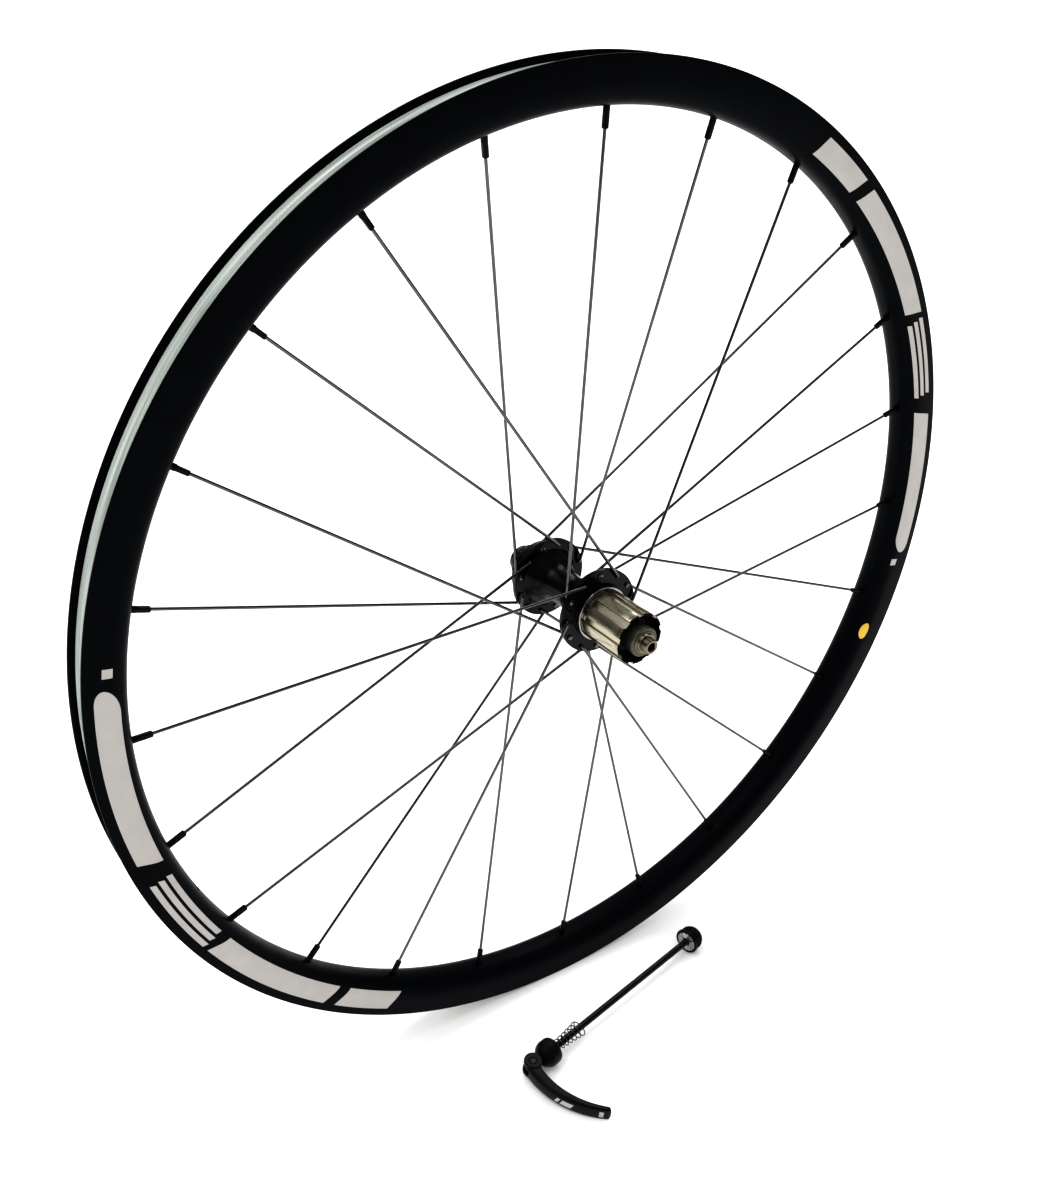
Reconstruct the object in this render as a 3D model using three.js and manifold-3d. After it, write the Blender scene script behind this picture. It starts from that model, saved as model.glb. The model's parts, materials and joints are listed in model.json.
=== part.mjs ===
// Rear wheel of a road bicycle for disc brakes, with its quick-release skewer lying beside it.
// Millimetres, +Z up. The origin is the wheel's centre, on the hub axis.
// +Y runs along the hub axis towards the brake side, -Y towards the sprocket side, +X is forwards.
import * as THREE from 'three';
import { mergeVertices } from 'three/addons/utils/BufferGeometryUtils.js';
import Module from 'manifold-3d';

const wasm = await Module();
wasm.setup();

// ---------------------------------------------------------------- driving dimensions
const GAP = 0.3; // clearance between neighbouring pieces
const DEG = Math.PI / 180;

const rim = {
  outerR: 316.5, // over the bead hooks
  seatR: 311, // bead seat
  wellR: 307, // drop centre
  faceR: 291.8, // spoke face
  bellyR: 304.5, // where the sidewall starts to curve in
  halfWidth: 12.5,
  halfInner: 10.5,
  wellHalf: 4.5,
  seatInner: 6.5,
  wall: 1.9,
  roundness: 2.4, // exponent of the curve from the sidewall to the spoke face
  segments: 48,
};
const spokes = {
  count: 24,
  firstAngle: 121.22, // the first nipple, from +X towards +Z
  crossing: 60, // hub hole ahead of or behind its nipple
  shaftR: 0.95,
  neckR: 1.0,
  headR: 1.8,
  headThick: 1.1,
  bend: 2.0, // tangent length of the elbow
  sides: 6,
};
const nipple = { bodyR: 1.95, length: 11.5, headR: 2.9, headThick: 3.6, holeR: 2.3 };
const valve = { angle: -156.28, holeR: 3.25 };

const driveFlange = { y: -18, R: 28.4, holeR: 25, thick: 3 };
const brakeFlange = { y: 35.5, R: 27.2, holeR: 23.5, thick: 3 };
const flangeHoleR = 1.35;
const rotorMount = { shoulderR: 20.6, shoulder: 48.5, splineR: 15, rootR: 14, end: 57.4, splines: 18 };

const axle = { R: 7.5, boreR: 5.2, driveEnd: -51.9, brakeEnd: 57 };
const dropoutFace = 67.5; // half of the 135 mm over-locknut width
const axleEnd = 72;
const skewerBoreR = 2.75;
const bearing = { R: 12, boreR: 7.8, width: 5 };

const freehub = {
  outer: -60.5, base: -24.3, landR: 17.2, grooveR: 15.7, noseR: 12.9, noseEnd: -13.2, shoulder: -21.6,
  grooves: 9, keyGroove: 131.5, grooveHalf: 7.2, keyHalf: 8.6, // degrees; the key groove is the wide one
  mouthR: 15.2, mouthEnd: -52, boreR: 12.3, boreEnd: -25.3, noseBoreR: 8.2,
};
const ratchet = { teeth: 24, tipR: 13.6, rootR: 15, R: 16.5, y0: -20.5, y1: -13 };
const pawl = { count: 3, pivotR: 11, heelR: 1.5, y0: -19.8, y1: -14, firstAngle: 90 };

const skewer = {
  camX: -76.6, camY: -81.0, axisZ: -306.7, yaw: 11.3, roll: 4.9, // where it lies, degrees
  rodR: 2.5, rodEnd: 183, eyeR: 4.6, eyeHalf: 2.5, pinR: 2.6,
  camR: 6.5, camOffset: 0.5, camHalf: 5.8,
  neckStart: 7.4, capR: 9.5, capEnd: 21.8,
  springStart: 22.8, springEnd: 50, springWire: 0.45, springTurns: 7,
  nutFace: 172.6, nutR: 9.8, nutEnd: 184.5,
};

// ---------------------------------------------------------------- materials
const paint = (color, roughness, metalness) =>
  new THREE.MeshStandardMaterial({ color, roughness, metalness });
const blackRim = paint(0x0b0c0f, 0.42, 0.55);
const tapeSilver = paint(0xb9bdb4, 0.5, 0.2);
const spokeSteel = paint(0x6d6d6b, 0.3, 1);
const blackAnodised = paint(0x08090b, 0.3, 0.7);
const bearingSteel = paint(0x9c9ea0, 0.3, 1);
const ratchetSteel = paint(0x77787a, 0.35, 1);
const nickel = paint(0xa89f8c, 0.28, 1);
const polished = paint(0xd5d3cf, 0.15, 1);
const capGrey = paint(0x55564c, 0.4, 0.8);
const axleSteel = paint(0x8c8672, 0.3, 1);
const rubber = paint(0x101010, 0.8, 0);
const blackSteel = paint(0x17150f, 0.35, 0.8);
const insertSteel = paint(0xc4c6c8, 0.3, 1);
const blackPlastic = paint(0x0a0b0e, 0.5, 0);

// ---------------------------------------------------------------- joining and cutting
function toSolid(geometry) {
  const bare = geometry.clone();
  bare.deleteAttribute('normal');
  bare.deleteAttribute('uv');
  const merged = mergeVertices(bare, 1e-4);
  const corners = merged.index.array;
  const kept = [];
  for (let i = 0; i < corners.length; i += 3) {
    const [a, b, c] = corners.slice(i, i + 3);
    if (a !== b && b !== c && c !== a) kept.push(a, b, c);
  }
  const vertProperties = Float32Array.from(merged.attributes.position.array);
  return new wasm.Manifold(new wasm.Mesh({ numProp: 3, vertProperties, triVerts: Uint32Array.from(kept) }));
}

function toGeometry(solid) {
  const mesh = solid.getMesh();
  const geometry = new THREE.BufferGeometry();
  geometry.setAttribute('position', new THREE.BufferAttribute(Float32Array.from(mesh.vertProperties), 3));
  geometry.setIndex(Array.from(mesh.triVerts));
  const facets = geometry.toNonIndexed();
  facets.computeVertexNormals();
  return facets;
}

const join = (first, ...rest) =>
  toGeometry(rest.reduce((sum, g) => sum.add(toSolid(g)), toSolid(first)));
const cut = (first, ...rest) =>
  toGeometry(rest.reduce((left, g) => left.subtract(toSolid(g)), toSolid(first)));

// ---------------------------------------------------------------- shapes
// A ring or a solid of revolution about Y. The profile is a list of [radius, y], anticlockwise with
// radius to the right, and it is closed unless it starts and ends on the axis.
function turned(profile, segments, startAngle = 0) {
  const points = profile.map(([r, y]) => new THREE.Vector2(r, y));
  const onAxis = profile[0][0] === 0 && profile[profile.length - 1][0] === 0;
  if (!onAxis) points.push(points[0].clone());
  return new THREE.LatheGeometry(points, segments, startAngle, 2 * Math.PI);
}

// The same about X: the profile is a list of [x, radius], from low x to high x.
function turnedX(profile, segments) {
  return turned(profile.map(([x, r]) => [r, x]), segments).rotateZ(-Math.PI / 2);
}

const ring = (innerR, outerR, y0, y1, segments) =>
  turned([[innerR, y0], [outerR, y0], [outerR, y1], [innerR, y1]], segments);

// A prism along Y whose outline lies in the XZ plane.
function prismY(outline, y0, y1, holes = []) {
  const shape = new THREE.Shape(outline.map(([x, z]) => new THREE.Vector2(x, z)));
  shape.holes = holes.map((hole) => new THREE.Path(hole.map(([x, z]) => new THREE.Vector2(x, z))));
  const geometry = new THREE.ExtrudeGeometry(shape, { depth: y1 - y0, bevelEnabled: false });
  return geometry.rotateX(Math.PI / 2).translate(0, y1, 0);
}

const polar = (R, degrees) => [R * Math.cos(degrees * DEG), R * Math.sin(degrees * DEG)];
const circle = (R, sides) => Array.from({ length: sides }, (_, i) => polar(R, (i * 360) / sides));

// A short cylinder whose axis passes through a point along a direction.
function plug(point, direction, R, length, sides) {
  const turn = new THREE.Quaternion().setFromUnitVectors(new THREE.Vector3(0, 1, 0), direction);
  return new THREE.CylinderGeometry(R, R, length, sides).applyQuaternion(turn).translate(...point);
}

const radial = (degrees) => new THREE.Vector3(Math.cos(degrees * DEG), 0, Math.sin(degrees * DEG));

// ---------------------------------------------------------------- spokes
// Even spokes go to the sprocket-side flange and odd ones to the brake-side flange, each crossing
// two others. On both flanges every second head faces outwards.
function spokeLine(k) {
  const nippleAngle = spokes.firstAngle - (k * 360) / spokes.count;
  const ahead = k % 4 === 1 || k % 4 === 2;
  const flange = k % 2 === 0 ? driveFlange : brakeFlange;
  const leavesTowardsY = k % 4 < 2 ? k % 2 === 1 : k % 2 === 0;
  const holeAngle = nippleAngle + (ahead ? spokes.crossing : -spokes.crossing);
  const side = leavesTowardsY ? 1 : -1;
  const hole = radial(holeAngle).multiplyScalar(flange.holeR).setY(flange.y);
  const seat = radial(nippleAngle).multiplyScalar(rim.faceR);
  const corner = hole.clone().setY(flange.y + side * (flange.thick / 2 + 0.2 + spokes.bend));
  const direction = seat.clone().sub(corner).normalize();
  return { flange, side, hole, seat, corner, direction };
}

// A turned profile of radii along the spoke's own length, carried along the line through the head,
// the elbow and the shaft to the end of the nipple.
function spokeGeometry(k) {
  const { flange, side, hole, seat, corner, direction } = spokeLine(k);
  const axial = new THREE.Vector3(0, side, 0);
  const turnAngle = axial.angleTo(direction);
  const bendR = spokes.bend / Math.tan(turnAngle / 2);
  const elbow = bendR * turnAngle;
  const start = hole.clone().addScaledVector(axial, -flange.thick / 2 - GAP - spokes.headThick);
  const neck = start.distanceTo(corner) - spokes.bend;
  const reach = corner.distanceTo(seat) - spokes.bend;
  const atSeat = neck + elbow + reach;
  const { shaftR, neckR, headR, headThick } = spokes;
  const headStart = rim.wall + 2 * GAP;
  const profile = [
    [0, 0], [headR * 0.7, 0], [headR, headThick], [neckR, headThick], [neckR, neck],
    [neckR, neck + elbow / 2], [neckR, neck + elbow], [shaftR, atSeat - nipple.length],
    [nipple.bodyR * 0.8, atSeat - nipple.length], [nipple.bodyR, atSeat - nipple.length + 2],
    [nipple.bodyR, atSeat + headStart], [nipple.headR, atSeat + headStart],
    [nipple.headR, atSeat + headStart + nipple.headThick], [0, atSeat + headStart + nipple.headThick],
  ];
  const geometry = turned(profile, spokes.sides);
  const normal = direction.clone().addScaledVector(axial, -direction.dot(axial)).normalize();
  const across = new THREE.Vector3().crossVectors(normal, axial);
  const position = geometry.attributes.position;
  const placed = new THREE.Vector3();
  for (let i = 0; i < position.count; i += 1) {
    const [u, s, w] = [position.getX(i), position.getY(i), position.getZ(i)];
    const bent = Math.min(Math.max(s - neck, 0), elbow) / bendR;
    const past = Math.max(s - neck - elbow, 0);
    placed.copy(start)
      .addScaledVector(axial, Math.min(s, neck) + bendR * Math.sin(bent) + past * Math.cos(bent))
      .addScaledVector(normal, bendR * (1 - Math.cos(bent)) + past * Math.sin(bent))
      .addScaledVector(normal, u * Math.cos(bent))
      .addScaledVector(axial, -u * Math.sin(bent))
      .addScaledVector(across, w);
    position.setXYZ(i, placed.x, placed.y, placed.z);
  }
  return geometry;
}

// ---------------------------------------------------------------- rim
const mirrored = (half) => [...half.map(([r, y]) => [r, -y]).reverse(), ...half];

// From a wall at a half width to the spoke face, a superellipse.
function belly(halfWidth, faceR, flatHalf, degrees) {
  const drop = rim.bellyR - faceR;
  const points = degrees.map((a) => {
    const power = 2 / rim.roundness;
    return [rim.bellyR - drop * Math.sin(a * DEG) ** power, halfWidth * Math.cos(a * DEG) ** power];
  });
  return [...points, [faceR, flatHalf]];
}

function rimGeometry() {
  const { outerR, seatR, wellR, halfWidth, halfInner, wellHalf, seatInner, wall, segments } = rim;
  const outside = mirrored([
    [wellR, wellHalf], [seatR, seatInner], [seatR, halfInner], [outerR, halfInner + 0.2],
    [outerR, halfWidth - 0.4], [outerR - 0.6, halfWidth], [rim.bellyR, halfWidth],
    ...belly(halfWidth, rim.faceR, 2.9, [27, 54]),
  ]);
  const cavity = mirrored([
    [wellR - wall, wellHalf + 0.8], [seatR - wall, seatInner + 0.8], [seatR - wall, halfWidth - wall],
    [rim.bellyR, halfWidth - wall], ...belly(halfWidth - wall, rim.faceR + wall, 2.9, [40]),
  ]);
  const facetTurn = (90 - spokes.firstAngle + 180 / segments) * DEG;
  const tools = [turned(cavity, segments, facetTurn)];
  for (let k = 0; k < spokes.count; k += 1) {
    const { seat, direction } = spokeLine(k);
    tools.push(plug(seat, direction, nipple.holeR, 8, 6));
    const angle = spokes.firstAngle - (k * 360) / spokes.count;
    tools.push(plug(radial(angle).multiplyScalar(wellR), radial(angle), 3.8, 8, 6));
  }
  const out = radial(valve.angle);
  tools.push(plug(out.clone().multiplyScalar(rim.faceR), out, valve.holeR, 8, 8));
  tools.push(plug(out.clone().multiplyScalar(wellR), out, 3.8, 8, 8));
  return cut(turned(outside, segments, facetTurn), ...tools);
}

function rimTapeGeometry() {
  const { seatR, wellR, halfInner, wellHalf, seatInner, segments } = rim;
  const under = [
    [wellR + GAP, wellHalf - 0.15], [seatR + GAP, seatInner - 0.15], [seatR + GAP, halfInner - GAP],
    [seatR + 1.8, halfInner - GAP],
  ];
  const over = [
    [wellR + 0.9, wellHalf - 0.5], [seatR + 0.9, seatInner - 0.5], [seatR + 1.8, halfInner - 0.8],
  ];
  const loop = [...mirrored(over), ...mirrored(under).reverse()];
  const facetTurn = (90 - spokes.firstAngle + 180 / segments) * DEG;
  const out = radial(valve.angle);
  return cut(turned(loop, segments, facetTurn), plug(out.clone().multiplyScalar(wellR), out, 3, 8, 8));
}

// ---------------------------------------------------------------- hub
function hubShellGeometry() {
  const half = driveFlange.thick / 2;
  const flangeEdge = ({ y, R }) => [[R, y - half], [R, y + half]];
  const { shoulderR, shoulder, splineR, rootR, end, splines: teeth } = rotorMount;
  const shell = turned([
    [16.8, -21], [19, -21], [19, driveFlange.y - half], ...flangeEdge(driveFlange), [20, -16.5],
    [19, -12.4], [15.4, -6], [12.2, 4], [11.6, 11], [12.6, 21], [20, 34], ...flangeEdge(brakeFlange),
    [shoulderR - 0.8, 37], [shoulderR - 0.8, 41.5], [shoulderR, 42], [shoulderR, shoulder],
    [rootR - 0.5, shoulder], [rootR - 0.5, 58], [12.3, 58], [12.3, 52], [9.5, 52], [9.5, -6.9],
    [12.3, -6.9], [12.3, -12.6], [16.8, -12.6],
  ], 24);
  const outline = [];
  for (let i = 0; i < teeth; i += 1) {
    const a = (i * 360) / teeth;
    outline.push(polar(rootR, a - 6), polar(splineR, a - 4.5));
    outline.push(polar(splineR, a + 4.5), polar(rootR, a + 6));
  }
  const along = new THREE.Vector3(0, 1, 0);
  const tools = [];
  for (let k = 0; k < spokes.count; k += 1) {
    tools.push(plug(spokeLine(k).hole, along, flangeHoleR, 6, 6));
  }
  return cut(join(shell, prismY(outline, shoulder - 1, end, [circle(13, 24).reverse()])), ...tools);
}

const bearingGeometry = (y0) => ring(bearing.boreR, bearing.R, y0, y0 + bearing.width, 18);

// Sawtooth ring. Each tooth's steep face looks towards the pawls' toes.
const toothStart = pawl.firstAngle - 30;
function driveRingGeometry() {
  const pitch = 360 / ratchet.teeth;
  const inner = [];
  for (let i = 0; i < ratchet.teeth; i += 1) {
    const steep = toothStart + i * pitch;
    inner.push(polar(ratchet.rootR, steep + 0.4), polar(ratchet.tipR, steep + pitch));
  }
  return prismY(circle(ratchet.R, 48), ratchet.y0, ratchet.y1, [inner.reverse()]);
}

// ---------------------------------------------------------------- axle
function axleGeometry() {
  const { R, boreR, driveEnd, brakeEnd } = axle;
  return turned([
    [boreR, driveEnd], [R, driveEnd], [R, -6.6], [9, -6.6], [9, -4], [R, -4], [R, 49], [9, 49], [9, 51.9],
    [R, 51.9], [R, brakeEnd], [boreR, brakeEnd],
  ], 18);
}

// Both caps are drawn for the brake side and the sprocket-side one is turned round afterwards.
function endCapGeometry(plugStart, steps) {
  const stubR = 5;
  return turned([
    [skewerBoreR, plugStart], [4.9, plugStart], ...steps, [stubR, dropoutFace], [stubR, axleEnd - 0.6],
    [stubR - 0.6, axleEnd], [skewerBoreR, axleEnd],
  ], 18);
}

const brakeCapGeometry = () => endCapGeometry(48, [
  [4.9, 57.3], [9.4, 57.6], [9.4, 58.6], [12.5, 58.6], [12.5, 60.5], [9.8, 61.5], [9.5, 66.9],
  [8.9, dropoutFace],
]);
const driveCapGeometry = () => endCapGeometry(42, [
  [4.9, 52.2], [8.8, 52.2], [8.8, 59.5], [9.9, 60], [9.9, 64.2], [9.3, 65], [6.6, 65], [6.4, dropoutFace],
]).rotateX(Math.PI);

// The ring's outer step stands clear of the splines, so the largest sprocket rests on it alone.
const dustRingGeometry = () => turned([
  [15.9, -23.6], [17.4, -23.6], [17.4, -24], [18.4, -24], [18.4, -21.4], [15.9, -21.4],
], 32);

// ---------------------------------------------------------------- freehub
function splineOutline() {
  const { grooves, keyGroove, grooveHalf, keyHalf, grooveR, landR } = freehub;
  const pitch = 360 / grooves;
  const slope = 0.8;
  const outline = [];
  for (let i = 0; i < grooves; i += 1) {
    const middle = keyGroove + i * pitch;
    const half = i === 0 ? keyHalf : grooveHalf;
    const nextHalf = i === grooves - 1 ? keyHalf : grooveHalf;
    outline.push(polar(grooveR, middle - half + slope), polar(grooveR, middle + half - slope));
    const land = [half, (pitch + half - nextHalf) / 2, pitch - nextHalf];
    land.forEach((a) => outline.push(polar(landR, middle + a)));
  }
  return outline;
}

// Pawl coordinates: u towards the toe, against the XZ angle, and v outwards, from the pawl's pivot.
function pawlFrame(i) {
  const angle = pawl.firstAngle + (i * 360) / pawl.count;
  return ([u, v]) => {
    const [cx, cz] = polar(pawl.pivotR + v, angle);
    return [cx + u * Math.sin(angle * DEG), cz - u * Math.cos(angle * DEG)];
  };
}

const heelArc = (R, from, to) =>
  [0, 1, 2, 3, 4].map((i) => polar(R, from + ((to - from) * i) / 4));
const springSlot = (innerR) => ring(innerR, 17, -17.5, -16.3, 24);

function pawlGeometry(i) {
  const outline = [...heelArc(pawl.heelR, 90, 270), [2, -1.4], [6, 0.9], [6.4, 1.9]].map(pawlFrame(i));
  return cut(prismY(outline, pawl.y0, pawl.y1), springSlot(pawl.pivotR + 0.5));
}

function pawlPocket(i) {
  const outline = [...heelArc(pawl.heelR + 0.4, 100, 270), [8.4, -1.9], [8.4, 4], [-0.6, 4]];
  return prismY(outline.map(pawlFrame(i)), pawl.y0 - GAP, pawl.y1 + GAP);
}

function freehubBodyGeometry() {
  const f = freehub;
  const splined = prismY(splineOutline(), f.outer, f.base);
  const nose = turned([
    [0, f.base - 1], [15.6, f.base - 1], [15.6, f.shoulder], [f.noseR, f.shoulder], [f.noseR, f.noseEnd],
    [0, f.noseEnd],
  ], 36);
  const bore = turned([
    [0, f.outer - 1], [f.mouthR, f.outer - 1], [f.mouthR, f.mouthEnd], [f.boreR, f.mouthEnd],
    [f.boreR, f.boreEnd], [f.noseBoreR, f.boreEnd], [f.noseBoreR, f.noseEnd + 1], [0, f.noseEnd + 1],
  ], 36);
  const pockets = Array.from({ length: pawl.count }, (_, i) => pawlPocket(i));
  return cut(join(splined, nose), bore, springSlot(f.noseR - 1.2), ...pockets);
}

// ---------------------------------------------------------------- skewer
// Drawn with the rod along +X from the cam pin at the origin, the pin along Z and the closed lever
// towards -Y.
const pinGeometry = (R, half) => new THREE.CylinderGeometry(R, R, 2 * half, 16).rotateX(Math.PI / 2);

function rodGeometry() {
  const { rodR, rodEnd, eyeR, eyeHalf, pinR } = skewer;
  const rod = turnedX([[0, 0], [0, rodR], [rodEnd - 0.8, rodR], [rodEnd, rodR - 0.6], [rodEnd, 0]], 12);
  return cut(join(rod, pinGeometry(eyeR, eyeHalf)), pinGeometry(pinR + GAP, eyeHalf + 1));
}

function leverGeometry() {
  const { camR, camOffset, camHalf, eyeR, rodR, pinR } = skewer;
  const bladeHalf = 5.4;
  const spine = new THREE.CubicBezierCurve(
    new THREE.Vector2(-1.2, 1), new THREE.Vector2(-8.4, -22),
    new THREE.Vector2(-1, -44), new THREE.Vector2(12.5, -59.4),
  );
  const near = [];
  const far = [];
  const steps = 10;
  for (let i = 0; i <= steps; i += 1) {
    const t = i / steps;
    const along = spine.getTangent(t);
    const across = new THREE.Vector2(along.y, -along.x).multiplyScalar(4.9 - 3 * t);
    near.push(spine.getPoint(t).add(across));
    far.push(spine.getPoint(t).sub(across));
  }
  const blade = new THREE.ExtrudeGeometry(new THREE.Shape([...near, ...far.reverse()]), {
    depth: 2 * (bladeHalf - 0.8), bevelSize: 0.8, bevelThickness: 0.8, bevelOffset: -0.8, bevelSegments: 1,
  }).translate(0, 0, 0.8 - bladeHalf);
  const cam = new THREE.CylinderGeometry(camR, camR, 2 * camHalf, 24).rotateX(Math.PI / 2);
  cam.translate(camOffset, 0, 0);
  const slotHalf = rodR + GAP;
  const slot = new THREE.BoxGeometry(26, 14, 2 * slotHalf).translate(0, 3.6, 0);
  const hollow = pinGeometry(eyeR + GAP, slotHalf);
  return cut(join(blade, cam), slot, hollow, pinGeometry(pinR + GAP, camHalf + 1));
}

function headCapGeometry() {
  const { neckStart, capR, capEnd, rodR } = skewer;
  return turnedX([
    [neckStart, rodR + GAP], [neckStart, 5.2], [neckStart + 1.6, 6.6], [neckStart + 4.6, 8.6],
    [neckStart + 7, capR], [capEnd - 2.4, capR], [capEnd - 0.6, capR - 0.6], [capEnd, capR - 1.4],
    [capEnd, 7.6], [capEnd - 1.9, 7.6], [capEnd - 1.9, rodR + GAP],
  ], 20);
}

// A toothed steel washer; its teeth are left between grooves cut across one face.
function insertGeometry(toothedX, backX, outerR) {
  const innerR = skewer.rodR + 0.6;
  const [x0, x1] = [Math.min(toothedX, backX), Math.max(toothedX, backX)];
  const body = turnedX([[x0, innerR], [x0, outerR], [x1, outerR], [x1, innerR]], 24);
  const cutters = [];
  for (let i = 0; i < 8; i += 1) {
    const groove = new THREE.BoxGeometry(0.9, 4 * outerR, 0.9).rotateX((i * 22.5 + 5) * DEG);
    cutters.push(groove.translate(toothedX, 0, 0));
  }
  return cut(body, ...cutters);
}

class ConicalHelix extends THREE.Curve {
  getPoint(t, target = new THREE.Vector3()) {
    const { springStart, springEnd, springTurns } = skewer;
    const R = 3.7 + 2.4 * t ** 1.5;
    const a = 2 * Math.PI * springTurns * t;
    return target.set(springStart + (springEnd - springStart) * t, R * Math.cos(a), R * Math.sin(a));
  }
}

function springGeometry() {
  const wire = new THREE.Shape(circle(skewer.springWire, 5).map(([x, y]) => new THREE.Vector2(x, y)));
  return new THREE.ExtrudeGeometry(wire, {
    steps: 10 * skewer.springTurns, extrudePath: new ConicalHelix(), bevelEnabled: false,
  });
}

function nutCapGeometry() {
  const { nutFace, nutR, nutEnd, rodR } = skewer;
  const front = nutFace + 0.4;
  const core = turnedX([
    [front, 0], [front, nutR - 0.5], [front + 0.5, nutR], [front + 2.3, nutR], [front + 3, 8.4],
    [nutEnd - 1, 7.9], [nutEnd, 6.9], [nutEnd, 0],
  ], 20);
  const grip = Array.from({ length: 20 }, (_, i) => polar(i % 2 === 0 ? 9.4 : 8.5, i * 18));
  const ridges = prismY(grip, -(nutEnd - 2.6), -(front + 2.6)).rotateZ(Math.PI / 2);
  const pocket = turnedX([[front - 1, 0], [front - 1, 8.1], [front + 2.1, 8.1], [front + 2.1, 0]], 20);
  const bore = turnedX([[front, 0], [front, rodR + GAP], [nutEnd + 1, rodR + GAP], [nutEnd + 1, 0]], 12);
  return cut(join(core, ridges), pocket, bore);
}

// ---------------------------------------------------------------- assembly
const group = new THREE.Group();

function place(parent, name, geometry, material) {
  const mesh = new THREE.Mesh(geometry, material);
  mesh.name = name;
  parent.add(mesh);
}

const wheelGroup = new THREE.Group();
place(wheelGroup, 'rim', rimGeometry(), blackRim);
place(wheelGroup, 'rim_tape', rimTapeGeometry(), tapeSilver);
for (let k = 0; k < spokes.count; k += 1) {
  place(wheelGroup, `spoke_${String(k + 1).padStart(2, '0')}`, spokeGeometry(k), spokeSteel);
}
place(wheelGroup, 'hub_shell', hubShellGeometry(), blackAnodised);
place(wheelGroup, 'hub_bearing_drive', bearingGeometry(-12.2), bearingSteel);
place(wheelGroup, 'hub_bearing_brake', bearingGeometry(52.3), bearingSteel);
place(wheelGroup, 'drive_ring', driveRingGeometry(), ratchetSteel);
group.add(wheelGroup);

const axleGroup = new THREE.Group();
place(axleGroup, 'axle', axleGeometry(), axleSteel);
place(axleGroup, 'end_cap_brake', brakeCapGeometry(), blackAnodised);
place(axleGroup, 'end_cap_drive', driveCapGeometry(), capGrey);
place(axleGroup, 'bearing_spacer', ring(axle.R + GAP, 9.3, -46.4, -30.9, 24), bearingSteel);
group.add(axleGroup);

const freehubGroup = new THREE.Group();
place(freehubGroup, 'freehub_body', freehubBodyGeometry(), nickel);
place(freehubGroup, 'freehub_bearing_outer', bearingGeometry(-51.7), bearingSteel);
place(freehubGroup, 'freehub_bearing_inner', bearingGeometry(-30.6), bearingSteel);
place(freehubGroup, 'dust_ring', dustRingGeometry(), polished);
place(freehubGroup, 'freehub_seal', ring(13.2, 16.5, -21.3, -20.8, 24), rubber);
place(freehubGroup, 'pawl_spring', ring(12, 12.5, -17.2, -16.6, 24), bearingSteel);
for (let i = 0; i < pawl.count; i += 1) {
  place(freehubGroup, `pawl_${i + 1}`, pawlGeometry(i), ratchetSteel);
}
group.add(freehubGroup);

const skewerGroup = new THREE.Group();
skewerGroup.position.set(skewer.camX, skewer.camY, skewer.axisZ);
skewerGroup.rotation.set(skewer.roll * DEG, 0, skewer.yaw * DEG, 'ZYX');
place(skewerGroup, 'skewer_rod', rodGeometry(), blackSteel);
place(skewerGroup, 'skewer_lever', leverGeometry(), blackAnodised);
place(skewerGroup, 'cam_pin', pinGeometry(skewer.pinR, skewer.camHalf - 0.2), bearingSteel);
place(skewerGroup, 'skewer_head', headCapGeometry(), blackPlastic);
const { capEnd, nutFace } = skewer;
place(skewerGroup, 'head_insert', insertGeometry(capEnd + 0.4, capEnd - 1.6, 7.3), insertSteel);
place(skewerGroup, 'cone_spring', springGeometry(), bearingSteel);
place(skewerGroup, 'nut_insert', insertGeometry(nutFace, nutFace + 2.2, 7.8), insertSteel);
place(skewerGroup, 'nut_cap', nutCapGeometry(), blackPlastic);
group.add(skewerGroup);

export default group;
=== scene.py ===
"""Rear wheel of a road bicycle for a disc brake, with its quick-release skewer lying beside it.

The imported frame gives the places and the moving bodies. This add-on builds the finished surfaces round
it: rim, decals, tape, spokes, hub, freehub, end caps and skewer, and the studio that they stand in.
Everything is in metres: +Y runs along the hub axis towards the brake side, +X forwards and +Z up.
"""

import json
import math

import bpy
import numpy as np
from bpy.props import FloatProperty, FloatVectorProperty, IntProperty, PointerProperty
from bpy.types import Operator, Panel, PropertyGroup
from mathutils import Matrix, Vector


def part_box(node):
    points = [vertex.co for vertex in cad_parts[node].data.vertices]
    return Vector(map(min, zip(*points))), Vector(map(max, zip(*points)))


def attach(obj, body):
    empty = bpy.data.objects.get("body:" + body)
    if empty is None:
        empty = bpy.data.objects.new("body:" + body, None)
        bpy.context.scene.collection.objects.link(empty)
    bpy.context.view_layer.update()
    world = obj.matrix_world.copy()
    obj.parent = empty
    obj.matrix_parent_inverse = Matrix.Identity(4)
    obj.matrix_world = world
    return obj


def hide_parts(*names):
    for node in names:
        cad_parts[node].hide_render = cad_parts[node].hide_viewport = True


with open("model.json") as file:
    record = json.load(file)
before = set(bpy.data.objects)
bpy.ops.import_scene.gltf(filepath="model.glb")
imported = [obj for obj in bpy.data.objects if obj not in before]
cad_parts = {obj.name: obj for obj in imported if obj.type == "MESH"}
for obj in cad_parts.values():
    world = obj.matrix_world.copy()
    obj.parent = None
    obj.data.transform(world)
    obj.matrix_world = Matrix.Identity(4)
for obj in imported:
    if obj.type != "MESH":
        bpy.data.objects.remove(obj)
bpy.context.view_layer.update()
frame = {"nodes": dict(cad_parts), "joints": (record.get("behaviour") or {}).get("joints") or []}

bl_info = {
    "name": "Road Wheel and Skewer",
    "version": (1, 0, 0),
    "blender": (4, 5, 0),
    "location": "View3D > Sidebar > Wheel",
    "description": "Builds a bicycle rear wheel and its quick-release skewer round a packed frame",
    "category": "Add Mesh",
}

MM = 0.001
TURN = 2 * math.pi
DEGREE = math.radians(1)
PRINT_THICK = 0.05 * MM


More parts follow.
